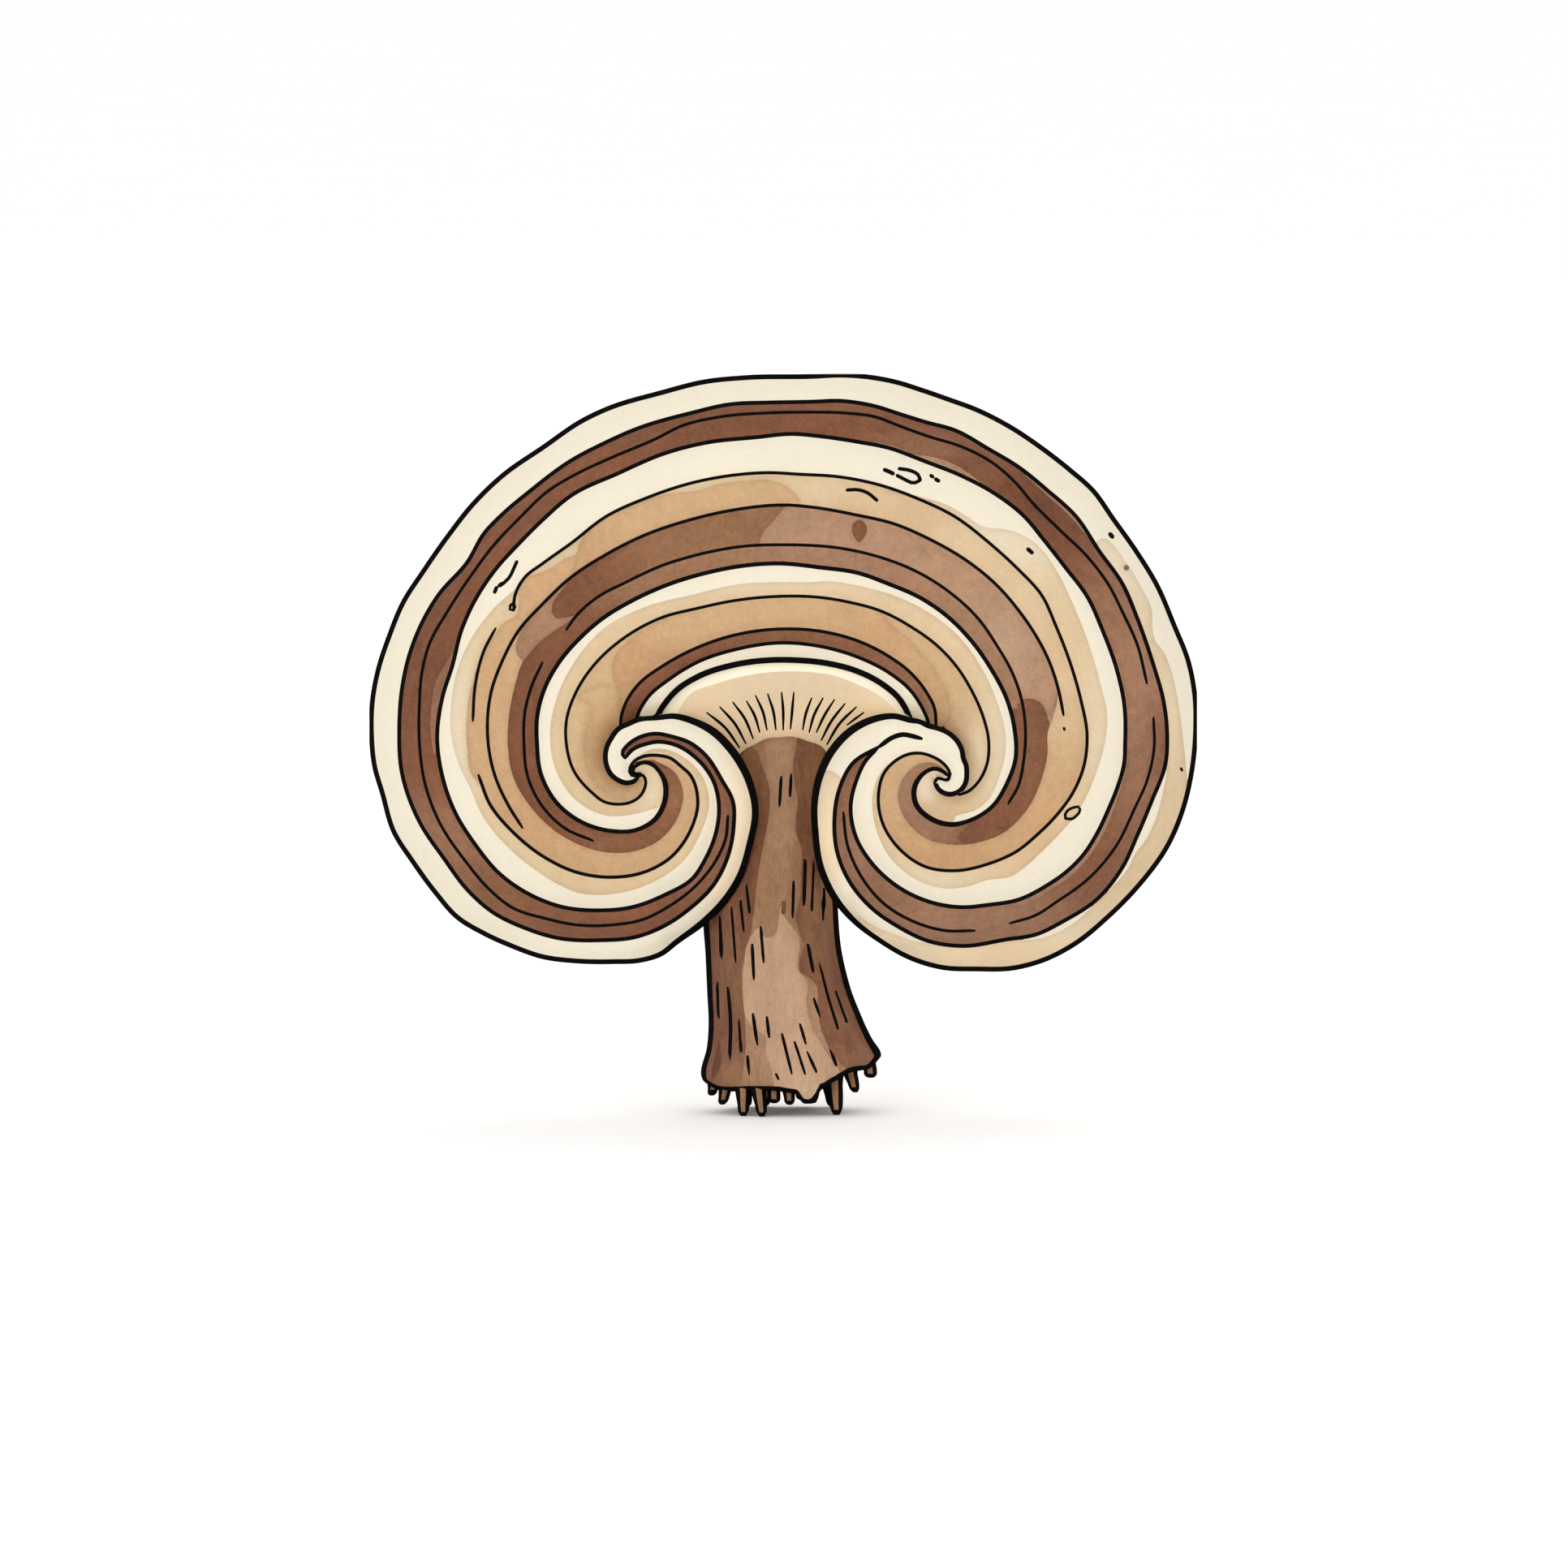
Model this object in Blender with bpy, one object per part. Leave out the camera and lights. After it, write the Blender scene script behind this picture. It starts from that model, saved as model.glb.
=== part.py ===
"""Turkey tail fungus, standing on its rootlets.

A fan-shaped cap rolls into a whorl at each lower corner, and a fibrous stem carries it.
The front view is laid out in drawing units, x to the right and y down, with `forward`
towards the viewer. `place` turns drawing units into metres: +Z up, the front towards -Y,
the origin on the ground under the middle of the cap.
"""

import bisect
import math

import bmesh
import bpy
from mathutils import Vector

# Driving dimensions, in metres.
CAP_WIDTH = 0.0800
STEM_GAP = 0.0003
ZONE_CROWN = 0.0003

# The front view, in drawing units. The outlines below run along the middle of the drawn
# line, so the edge lies half a line outside them.
OUTLINE_LEFT = 454.6
OUTLINE_RIGHT = 1475.5
HALF_LINE = 2.5
HALF_ARCH_LINE = 3.0
CENTRE_X = (OUTLINE_LEFT + OUTLINE_RIGHT) / 2
CENTRE_FORWARD = 36.8
GROUND_Y = 1368
UNIT = CAP_WIDTH / (OUTLINE_RIGHT - OUTLINE_LEFT)
LEAN_BACK = math.tan(math.radians(4.0))
MIDDLE_X = 967

# Each half of the fan: the middle of its whorl, the angle at which the margin ends there,
# and the margin from the top of the fan round the lobe and along the whorl's hook.
LEFT = {
    "side": -1,
    "eye": (784, 954),
    "hook_end": 690,
    "margin": [
        (919, 466), (869, 471), (815, 485), (747, 506), (669, 554), (583, 620), (519, 706),
        (479, 783), (458, 865), (461, 951), (485, 1026), (540, 1101), (594, 1150),
        (669, 1180), (754, 1186), (815, 1176), (869, 1135), (911, 1082), (931, 998),
        (922, 959), (901, 923), (879, 901), (851, 887), (830, 882), (811, 884), (785, 887),
        (762, 898), (748, 920), (747, 941), (761, 961), (773, 965), (783, 962), (787, 957),
    ],
}
RIGHT = {
    "side": 1,
    "eye": (1162, 957),
    "hook_end": 738,
    "margin": [
        (1036, 461), (1104, 472), (1169, 494), (1204, 506), (1283, 551), (1347, 603),
        (1401, 679), (1447, 769), (1472, 850), (1475, 890), (1469, 951), (1440, 1041),
        (1365, 1130), (1283, 1182), (1204, 1195), (1119, 1178), (1054, 1137), (1011, 1069),
        (1003, 994), (1010, 955), (1026, 923), (1051, 898), (1079, 885), (1101, 882),
        (1122, 887), (1144, 894), (1170, 904), (1185, 924), (1190, 942), (1189, 966),
        (1170, 979), (1154, 970), (1152, 963), (1156, 958),
    ],
}
TOP_MARGIN = [
    (747, 506), (815, 485), (869, 471), (919, 466), (1000, 464), (1036, 461), (1104, 472),
    (1169, 494), (1204, 506),
]

# The arched inner edge between the two lobes.
ARCH = [
    (811, 884), (820, 866), (833, 851), (861, 833), (904, 819), (951, 813), (976, 813),
    (1019, 817), (1054, 826), (1086, 842), (1108, 861), (1122, 887),
]

# Stations cross the fan. A station's angle is 45 at the middle of the fan and 90 above a
# whorl's eye, and then turns round the eye: 180 outward, 270 down, 360 towards the stem.
TOP_ANGLE = 45
EYE_ANGLE = 90
STATION_STEP = 12
ARCH_STATIONS = 8

# Forward places along the fan as (angle, forward): its margin, its inner edge and its crest.
MARGIN_FORWARD = [
    (45, -12), (90, -10), (135, -4), (180, 2), (225, 10), (270, 24), (315, 50), (360, 84),
    (405, 122), (450, 150), (495, 162), (540, 164), (630, 157), (690, 152), (740, 150),
]
INNER_FORWARD = [
    (45, 104), (83, 110), (90, 112), (135, 122), (180, 127), (225, 133), (270, 140),
    (330, 148), (740, 148),
]
CREST_FORWARD = [
    (45, 132), (90, 134), (180, 135), (270, 141), (315, 147), (360, 151), (405, 158),
    (450, 168), (540, 171), (630, 161), (690, 154), (740, 151),
]
INNER_ROLL = [(45, 0.16), (270, 0.20), (330, 0.35), (450, 0.60), (740, 0.80)]
MARGIN_THICKNESS = 13
FLESH_THICKNESS = 46

# Where each growth zone ends, as (angle, share of the way from the inner edge to the margin).
ZONE_ENDS = [
    [(45, 0.23), (180, 0.17), (270, 0.12), (360, 0.08), (450, 0.10)],
    [(45, 0.34), (180, 0.30), (270, 0.27), (360, 0.25), (450, 0.21)],
    [(45, 0.55), (180, 0.51), (270, 0.39), (360, 0.39), (450, 0.33)],
    [(45, 0.79), (180, 0.72), (270, 0.71), (360, 0.69), (450, 0.49)],
    [(45, 0.91), (180, 0.89), (270, 0.88), (360, 0.82), (450, 0.61)],
]
FULL_ZONE_WIDTH = 30
BACK_SHARES = [0.0, 0.3, 0.6, 0.85, 1.0]

# The stem's rings from its domed top to its torn hem: left edge, right edge, the forward
# place of the ring's middle, its half depth and how far it follows the hem's droop.
STEM_TOP = (967, 889, -18)
STEM_RINGS = [
    ((934, 894), (1000, 894), -18, 34, 0.0),
    ((914, 908), (1020, 908), -18, 53, 0.0),
    ((906, 930), (1028, 930), -18, 62, 0.0),
    ((899, 965), (1027, 965), -16, 65, 0.0),
    ((893, 1000), (1024, 1000), -14, 66, 0.0),
    ((880, 1060), (1025, 1060), -8, 70, 0.0),
    ((871, 1125), (1028, 1116), 2, 74, 0.0),
    ((872, 1176), (1033, 1168), 12, 76, 0.0),
    ((875, 1224), (1046, 1218), 24, 78, 0.0),
    ((877, 1262), (1062, 1256), 34, 82, 0.05),
    ((874, 1292), (1077, 1278), 42, 90, 0.15),
    ((867, 1318), (1083, 1297), 46, 96, 0.45),
    ((870, 1330), (1079, 1305), 46, 93, 0.85),
    ((890, 1331), (1060, 1309), 46, 76, 1.0),
]
STEM_BOTTOM = (975, 1337, 46)
HEM_DROOP = [
    (866, 0), (888, 12), (926, 16), (959, 23), (981, 29), (1008, 27), (1028, 20), (1047, 12),
    (1066, 7), (1083, 0),
]
STEM_SIDES = 40
FLUTES = 11
FLUTE_DEPTH = 1.6

# The rootlets under the hem: where each leaves it, where its tip is, and half its width
# there and at the tip. Those whose tip is at the ground's height carry the fungus.
ROOTLETS = [
    ((880, 1326, 46), (877, 1349, 50), 8, 5),
    ((893, 1330, 76), (890, 1359, 78), 8, 5),
    ((914, 1330, 106), (916, GROUND_Y, 114), 9, 6),
    ((936, 1330, 114), (939, GROUND_Y, 122), 9, 6),
    ((953, 1332, 112), (954, 1357, 116), 8, 6),
    ((972, 1334, 108), (974, 1359, 112), 8, 5),
    ((996, 1330, 104), (997, 1357, 108), 13, 9),
    ((1028, 1318, 86), (1031, GROUND_Y, 94), 10, 6),
    ((1046, 1312, 66), (1055, 1345, 70), 8, 5),
    ((1062, 1306, 46), (1073, 1327, 48), 9, 6),
    ((916, 1330, -20), (919, GROUND_Y, -30), 10, 7),
    ((944, 1330, -30), (941, GROUND_Y, -38), 10, 7),
    ((1018, 1320, -24), (1027, GROUND_Y, -26), 10, 7),
    ((986, 1330, -32), (988, 1357, -38), 9, 6),
    ((1052, 1312, 6), (1058, 1343, 2), 9, 6),
]
ROOTLET_SIDES = 8

# The neck of pale flesh behind the arch, from inside the hood down onto the stem's top, as
# (height, half width, forward place of its back).
NECK_ROWS = [
    (716, 90, 91), (736, 104, 79), (756, 118, 58), (776, 132, 32), (796, 144, 4),
    (817, 154, -22), (840, 160, -46), (864, 164, -64), (886, 162, -77), (904, 136, -87),
    (920, 106, -93), (937, 84, -97), (954, 74, -97), (970, 68, -93),
]
NECK_COLUMNS = 20
NECK_EDGE = 4
NICHE_STEP = 12
NICHE_FALL = 58
NICHE_REACH = 92

CAP_COLOUR = (0.55, 0.36, 0.22, 1.0)
STEM_COLOUR = (0.26, 0.12, 0.06, 1.0)


def place(x, y, forward):
    """The point in metres of a place in the front view, with the fan's slight lean back."""
    up = GROUND_Y - y + forward * LEAN_BACK
    return Vector(((x - CENTRE_X) * UNIT, (CENTRE_FORWARD - forward) * UNIT, up * UNIT))


def smooth_value(points, at):
    """The value at one place of a smooth curve through points in rising order."""
    places = [point[0] for point in points]
    if at <= places[0]:
        return points[0][1]
    if at >= places[-1]:
        return points[-1][1]
    low = bisect.bisect_right(places, at) - 1

    def slope(index):
        before = points[max(index - 1, 0)]
        after = points[min(index + 1, len(points) - 1)]
        return (after[1] - before[1]) / (after[0] - before[0])

    width = places[low + 1] - places[low]
    t = (at - places[low]) / width
    rise = (2 * t**3 - 3 * t**2 + 1) * points[low][1] + (3 * t**2 - 2 * t**3) * points[low + 1][1]
    bend = (t**3 - 2 * t**2 + t) * slope(low) + (t**3 - t**2) * slope(low + 1)
    return rise + bend * width


def ease(value):
    """0 below 0, 1 above 1 and a smooth rise between."""
    value = min(max(value, 0.0), 1.0)
    return value * value * (3 - 2 * value)


def angle_about(half, point):
    """The angle of a place about the half's eye, in its first turn."""
    outward = (point[0] - half["eye"][0]) * half["side"]
    up = half["eye"][1] - point[1]
    return (90 + math.degrees(math.atan2(outward, up))) % 360


def polar_margin(half):
    """The half's margin as (angle, radius) about its eye, in rising angles."""
    found = []
    for point in half["margin"]:
        angle = angle_about(half, point)
        while found and angle < found[-1][0] - 90:
            angle += 360
        found.append((angle, math.dist(point, half["eye"]) + HALF_LINE))
    found.append((half["hook_end"], 0.0))
    return found


def station_angle(half, x):
    """The angle of an upright station between the middle of the fan and the half's eye."""
    share = (x - MIDDLE_X) / (half["eye"][0] - MIDDLE_X)
    return TOP_ANGLE + (EYE_ANGLE - TOP_ANGLE) * share


def front_forward(angle, share):
    """How far forward the cap's zoned face lies, `share` of the way out to the margin."""
    rim = smooth_value(MARGIN_FORWARD, angle)
    crest = smooth_value(CREST_FORWARD, angle)
    inner = smooth_value(INNER_FORWARD, angle)
    forward = rim + (crest - rim) * (1 - share**3) ** 0.7
    rolled = max(0.0, 1 - share / smooth_value(INNER_ROLL, angle))
    return forward - (crest - inner) * rolled**2


def back_forward(half, angle, share):
    """How far forward the cap's back lies: a skin behind the face, one layer at a whorl."""
    flesh = (FLESH_THICKNESS - MARGIN_THICKNESS) * (1 - share**2) ** 0.5
    arch_edge = 1 - ease((angle - 80) / 12)
    flesh *= 1 - arch_edge * (1 - ease(share / 0.15))
    skin = front_forward(angle, share) - MARGIN_THICKNESS - flesh
    if angle <= half["hook_end"] - 360:
        return skin
    seam_angle = max(angle, half["join_angle"]) - 360
    if seam_angle < EYE_ANGLE:
        seam_angle = station_angle(half, margin_point(half, seam_angle + 360)[0])
    seam = back_forward(half, seam_angle, 0.0)
    eye = front_forward(half["hook_end"], 0.0) - FLESH_THICKNESS
    whorl = eye + (seam - eye) * share
    start = half["hook_end"] - 360
    return skin + (whorl - skin) * ease((angle - start) / (half["join_angle"] - start))


def polar_point(half, angle, radius):
    """The place at an angle and radius about the half's eye."""
    turned = math.radians(angle - 90)
    x = half["eye"][0] + half["side"] * radius * math.sin(turned)
    return x, half["eye"][1] - radius * math.cos(turned)


def margin_point(half, angle):
    return polar_point(half, angle, smooth_value(half["polar"], angle))


def upright_station(half, x, inner_y):
    """A station between the middle of the fan and an eye, from its inner edge up."""
    return {
        "half": half,
        "angle": station_angle(half, x),
        "inner": (x, inner_y),
        "outer": (x, smooth_value(TOP_MARGIN, x) - HALF_LINE),
    }


def turning_station(half, angle):
    """A station that turns about an eye. In the first turn it starts at the hook's margin."""
    first_turn = angle <= half["hook_end"] - 360
    inner = margin_point(half, angle + 360) if first_turn else half["eye"]
    return {"half": half, "angle": angle, "inner": inner, "outer": margin_point(half, angle)}


def half_stations(half, join):
    """The half's stations from the middle of the fan to the hook's end, each with its facing
    station across the seam where its margin lies on the turn before."""
    half["polar"] = polar_margin(half)
    half["join_angle"] = angle_about(half, join) + 360
    join_x, join_y = margin_point(half, half["join_angle"])
    stations = []
    for index in range(ARCH_STATIONS + 1):
        turned = math.radians(90 * index / ARCH_STATIONS)
        x = MIDDLE_X + (join_x - MIDDLE_X) * math.sin(turned)
        y = join_y if index == ARCH_STATIONS else smooth_value(ARCH, x) + HALF_ARCH_LINE
        stations.append(upright_station(half, x, y))
        stations[-1]["arch"] = True
    angles = [half["join_angle"]]
    angles += range(EYE_ANGLE + STATION_STEP, half["hook_end"] + 1, STATION_STEP)
    lip = [angle for angle in sorted(angles) if half["join_angle"] < angle < 360 + EYE_ANGLE]
    facing = {half["join_angle"]: stations[-1]}
    for angle in lip:
        x, y = margin_point(half, angle)
        stations.append(upright_station(half, x, y))
        facing[angle] = stations[-1]
    for angle in [EYE_ANGLE] + sorted(angles):
        stations.append(turning_station(half, angle))
        facing[angle + 360] = stations[-1]
        if angle >= half["join_angle"]:
            stations[-1]["facing"] = facing[angle]
    return stations


def share_rows(angle):
    """The rows across a station as (share, crown): every zone end and every zone's middle."""
    ends = [0.0] + [smooth_value(zone, angle) for zone in ZONE_ENDS] + [1.0]
    rows = [(0.0, 0.0)]
    for start, end in zip(ends, ends[1:]):
        rows += [((start + end) / 2, end - start), (end, 0.0)]
    return rows


class Solid:
    """A closed mesh made of rows of points, with the faces between them."""

    def __init__(self):
        self.mesh = bmesh.new()

    def row(self, points):
        return [self.mesh.verts.new(point) for point in points]

    def face(self, corners):
        """A face with repeated corners left out."""
        kept = [v for k, v in enumerate(corners) if v not in corners[:k]]
        if len(kept) > 2:
            self.mesh.faces.new(kept)

    def skin(self, first, second, closed=False):
        """The faces between two rows of the same length."""
        count = len(first)
        for k in range(count if closed else count - 1):
            after = (k + 1) % count
            self.face([first[k], first[after], second[after], second[k]])

    def to_object(self, name, collection, colour):
        loose = [vert for vert in self.mesh.verts if not vert.link_faces]
        bmesh.ops.delete(self.mesh, geom=loose, context="VERTS")
        bmesh.ops.recalc_face_normals(self.mesh, faces=self.mesh.faces)
        data = bpy.data.meshes.new(name)
        self.mesh.to_mesh(data)
        self.mesh.free()
        data.shade_smooth()
        data.set_sharp_from_angle(angle=math.radians(40))
        made = bpy.data.objects.new(name, data)
        made.data.materials.append(material(name, colour))
        collection.objects.link(made)
        return made


def material(name, colour):
    made = bpy.data.materials.new(name)
    made.use_nodes = True
    shader = made.node_tree.nodes["Principled BSDF"]
    shader.inputs["Base Color"].default_value = colour
    shader.inputs["Roughness"].default_value = 0.8
    shader.inputs["Metallic"].default_value = 0.0
    return made


def station_points(station):
    """The points of a station's face and of its back."""
    half, angle = station["half"], station["angle"]
    inner, outer = Vector(station["inner"]), Vector(station["outer"])
    length = (outer - inner).length
    face = []
    for share, width in share_rows(angle):
        crown = ZONE_CROWN / UNIT * min(1.0, width * length / FULL_ZONE_WIDTH)
        face.append(place(*inner.lerp(outer, share), front_forward(angle, share) + crown))
    back = []
    for share in BACK_SHARES:
        back.append(place(*inner.lerp(outer, share), back_forward(half, angle, share)))
    return face, back


def fan(collection):
    """The cap without its neck: face, back and the walls that join them."""
    left = half_stations(LEFT, ARCH[0])
    right = half_stations(RIGHT, ARCH[-1])
    stations = left[::-1] + right[1:]
    solid = Solid()
    for station in stations:
        face, back = station_points(station)
        station["face"], station["back"] = solid.row(face), solid.row(back)
    for some in (left, right):
        eye_face, eye_back = some[-1]["face"][0], some[-1]["back"][0]
        for station in some:
            if station["angle"] >= station["half"]["hook_end"]:
                station["face"] = [eye_face] * len(station["face"])
                station["back"] = [eye_back] * len(station["back"])
            elif station["angle"] >= station["half"]["hook_end"] - 360:
                station["face"][0], station["back"][0] = eye_face, eye_back
    for station in stations:
        if "facing" in station:
            station["back"][-1] = station["facing"]["back"][0]
    for this, after in zip(stations, stations[1:]):
        solid.skin(this["face"], after["face"])
        solid.skin(this["back"], after["back"])
        wall = [this["face"][-1], after["face"][-1]]
        if "facing" in after:
            wall.append(after["facing"]["face"][0])
        if "facing" not in this or "facing" not in after:
            wall += [after["back"][-1], this["back"][-1]]
        if "facing" in this:
            wall.append(this["facing"]["face"][0])
        solid.face(wall)
        if "arch" in this and "arch" in after:
            solid.face([this["face"][0], after["face"][0], after["back"][0], this["back"][0]])
    return solid.to_object("cap", collection, CAP_COLOUR)


def niche_forward(x, y):
    """The pale underside that falls back from the arch's edge towards the stem."""
    x = min(max(x, ARCH[0][0]), ARCH[-1][0])
    half = LEFT if x < MIDDLE_X else RIGHT
    edge = front_forward(station_angle(half, x), 0.0) - NICHE_STEP
    below = max(0.0, y - smooth_value(ARCH, x))
    return edge - NICHE_FALL * (below / NICHE_REACH) ** 2


def neck(collection):
    """The flesh that carries the hood on the stem, with the underside as its front."""
    solid = Solid()
    rows = []
    for y, half_width, back in NECK_ROWS:
        front_row, back_row = [], []
        for column in range(NECK_COLUMNS + 1):
            across = -math.cos(math.pi * column / NECK_COLUMNS)
            x = MIDDLE_X + half_width * across
            front = niche_forward(x, y)
            depth = max(NECK_EDGE, (front - back) * (1 - across**2) ** 0.75)
            front_row.append(place(x, y, front))
            back_row.append(place(x, y, front - depth))
        rows.append(solid.row(front_row + back_row[::-1]))
    for above, below in zip(rows, rows[1:]):
        solid.skin(above, below, closed=True)
    for end in (rows[0], rows[-1]):
        solid.skin(end[: NECK_COLUMNS + 1], end[: NECK_COLUMNS : -1])
    return solid.to_object("neck", collection, CAP_COLOUR)


def stem_body(name, collection, grow):
    """The stem's flared column, or the same column grown by a clearance."""
    solid = Solid()
    rows = []
    for left, right, middle, depth, drooping in STEM_RINGS:
        centre_x, centre_y = (left[0] + right[0]) / 2, (left[1] + right[1]) / 2
        half_width = (right[0] - left[0]) / 2 + grow
        tilt = (right[1] - left[1]) / (right[0] - left[0])
        row = []
        for side in range(STEM_SIDES):
            turn = 2 * math.pi * side / STEM_SIDES
            flute = FLUTE_DEPTH * math.cos(FLUTES * turn + 0.004 * centre_y)
            across = (half_width + flute) * math.cos(turn)
            forward = middle + (depth + grow + flute) * math.sin(turn)
            droop = drooping * smooth_value(HEM_DROOP, centre_x + across)
            row.append(place(centre_x + across, centre_y + tilt * across + droop, forward))
        rows.append(solid.row(row))
    x, y, forward = STEM_TOP
    top = solid.row([place(x, y - grow, forward)])[0]
    bottom = solid.row([place(*STEM_BOTTOM)])[0]
    for side in range(STEM_SIDES):
        after = (side + 1) % STEM_SIDES
        solid.face([top, rows[0][side], rows[0][after]])
        solid.face([bottom, rows[-1][side], rows[-1][after]])
    for above, below in zip(rows, rows[1:]):
        solid.skin(above, below, closed=True)
    return solid.to_object(name, collection, STEM_COLOUR)


def rootlet(number, root, tip, root_width, tip_width, collection):
    """A rootlet that tapers from under the hem to its tip, which is cut level."""
    solid = Solid()
    start, end = place(*root), place(*tip)
    if tip[1] == GROUND_Y:
        end.z = 0.0
    rows = []
    for share in (0.0, 0.45, 0.85, 1.0):
        width = root_width + (tip_width - root_width) * share
        width *= 0.72 if share == 1.0 else 1.0
        centre = start.lerp(end, share)
        row = []
        for side in range(ROOTLET_SIDES):
            turn = 2 * math.pi * side / ROOTLET_SIDES
            row.append(centre + Vector((math.cos(turn), math.sin(turn), 0)) * width * UNIT)
        rows.append(solid.row(row))
    for above, below in zip(rows, rows[1:]):
        solid.skin(above, below, closed=True)
    solid.face(rows[0])
    solid.face(rows[-1])
    return solid.to_object(f"rootlet_{number}", collection, STEM_COLOUR)


def boolean(target, operation, operand):
    modifier = target.modifiers.new(operation.title(), "BOOLEAN")
    modifier.operation = operation
    modifier.solver = "EXACT"
    if isinstance(operand, bpy.types.Collection):
        modifier.operand_type = "COLLECTION"
        modifier.collection = operand
    else:
        modifier.object = operand


def collection_in(parent, name):
    made = bpy.data.collections.new(name)
    parent.children.link(made)
    return made


def main():
    for old in list(bpy.data.objects):
        bpy.data.objects.remove(old)
    scene = bpy.context.scene.collection
    parts = collection_in(scene, "turkey_tail_fungus")
    cutters = collection_in(scene, "cutters")
    rootlets = collection_in(cutters, "rootlets")
    cap = fan(parts)
    stem = stem_body("stem", parts, 0.0)
    flesh = neck(cutters)
    clearance = stem_body("stem_clearance", cutters, STEM_GAP / UNIT)
    for number, (root, tip, root_width, tip_width) in enumerate(ROOTLETS, 1):
        rootlet(number, root, tip, root_width, tip_width, rootlets)
    boolean(cap, "UNION", flesh)
    boolean(cap, "DIFFERENCE", clearance)
    boolean(stem, "UNION", rootlets)
    for helper in [flesh, clearance, *rootlets.objects]:
        helper.hide_render = True
        helper.display_type = "WIRE"


main()
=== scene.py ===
"""Turkey tail fungus: the painted, finely shaped pieces around its plain solids.

The front view is laid out in drawing units, x to the right and y down, with `forward` towards the
viewer, as the solids are. Every line and wash edge below follows the drawn shapes.
"""

import math

import bpy
import numpy as np
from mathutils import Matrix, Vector
from mathutils.geometry import delaunay_2d_cdt
from mathutils.kdtree import KDTree


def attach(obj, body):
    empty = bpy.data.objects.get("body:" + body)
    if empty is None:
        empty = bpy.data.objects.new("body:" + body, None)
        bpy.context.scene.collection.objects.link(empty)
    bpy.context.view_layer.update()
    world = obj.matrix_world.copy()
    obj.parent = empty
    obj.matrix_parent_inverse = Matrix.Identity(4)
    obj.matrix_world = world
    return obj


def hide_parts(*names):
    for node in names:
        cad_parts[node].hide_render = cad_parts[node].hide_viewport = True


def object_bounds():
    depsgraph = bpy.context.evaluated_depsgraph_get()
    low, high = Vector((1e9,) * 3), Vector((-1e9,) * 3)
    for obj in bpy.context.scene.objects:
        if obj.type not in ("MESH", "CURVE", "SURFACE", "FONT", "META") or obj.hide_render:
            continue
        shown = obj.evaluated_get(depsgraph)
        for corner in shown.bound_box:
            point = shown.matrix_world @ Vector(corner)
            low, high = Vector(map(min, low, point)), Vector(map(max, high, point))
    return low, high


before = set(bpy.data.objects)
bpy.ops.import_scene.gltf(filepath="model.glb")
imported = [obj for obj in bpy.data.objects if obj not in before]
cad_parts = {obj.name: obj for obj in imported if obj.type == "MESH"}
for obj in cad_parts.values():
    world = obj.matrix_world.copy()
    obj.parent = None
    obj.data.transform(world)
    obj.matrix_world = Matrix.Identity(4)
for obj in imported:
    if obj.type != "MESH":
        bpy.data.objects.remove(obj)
CAD_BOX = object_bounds()

bl_info = {
    "name": "Turkey tail fungus",
    "version": (1, 0, 0),
    "blender": (4, 5, 0),
    "location": "3D View > Sidebar > Fungus",
    "description": "Zoned bracket fungus with rolled lobes, a fibrous stem and rootlets",
    "category": "Add Mesh",
}

# The drawing's layout, shared with the solids.
LEFT_X, RIGHT_X = 454.6, 1475.5
UNIT = 0.0800 / (RIGHT_X - LEFT_X)
CENTRE_X = (LEFT_X + RIGHT_X) / 2
CENTRE_FORWARD = 36.8
GROUND_Y = 1368
VIEW_ANGLE = math.radians(4.0)
LEAN_BACK = math.tan(VIEW_ANGLE)
MIDDLE_X = 967

# The rim of the cap, from the top of the fan round each lobe and along its hook to the eye of
# the whorl, as (x, y) or (x, y, half of the inked width).
RIM_LEFT = [
    (919, 463.5), (869, 468.5), (815, 482), (747, 502.5), (719, 515.8), (669, 549.6), (619, 584.5),
    (583, 619.3), (551, 660), (519, 706), (497, 740), (479, 783), (465, 826), (458, 865),
    (457, 904), (461, 945), (470, 976), (485, 1026), (508, 1062), (536.5, 1101), (563, 1131),
    (594, 1150), (629, 1166), (669, 1180), (708, 1185), (754, 1186), (790, 1184), (815, 1176, 3.0),
    (833, 1162, 3.2), (869, 1135, 4.0), (890, 1114, 4.2), (911, 1082, 4.0), (924, 1041, 3.8),
    (931, 998, 4.0), (922, 959, 4.4), (901, 923, 4.8), (879, 901, 4.6), (851, 887, 3.8),
    (830, 882, 3.3), (811, 884, 2.8), (785, 887), (776, 891), (762, 898), (753, 910), (748, 920),
    (746, 931), (747, 941), (752, 953), (761, 961), (773, 965, 2.8), (783, 962, 2.4),
    (787, 957, 1.6),
]
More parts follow.
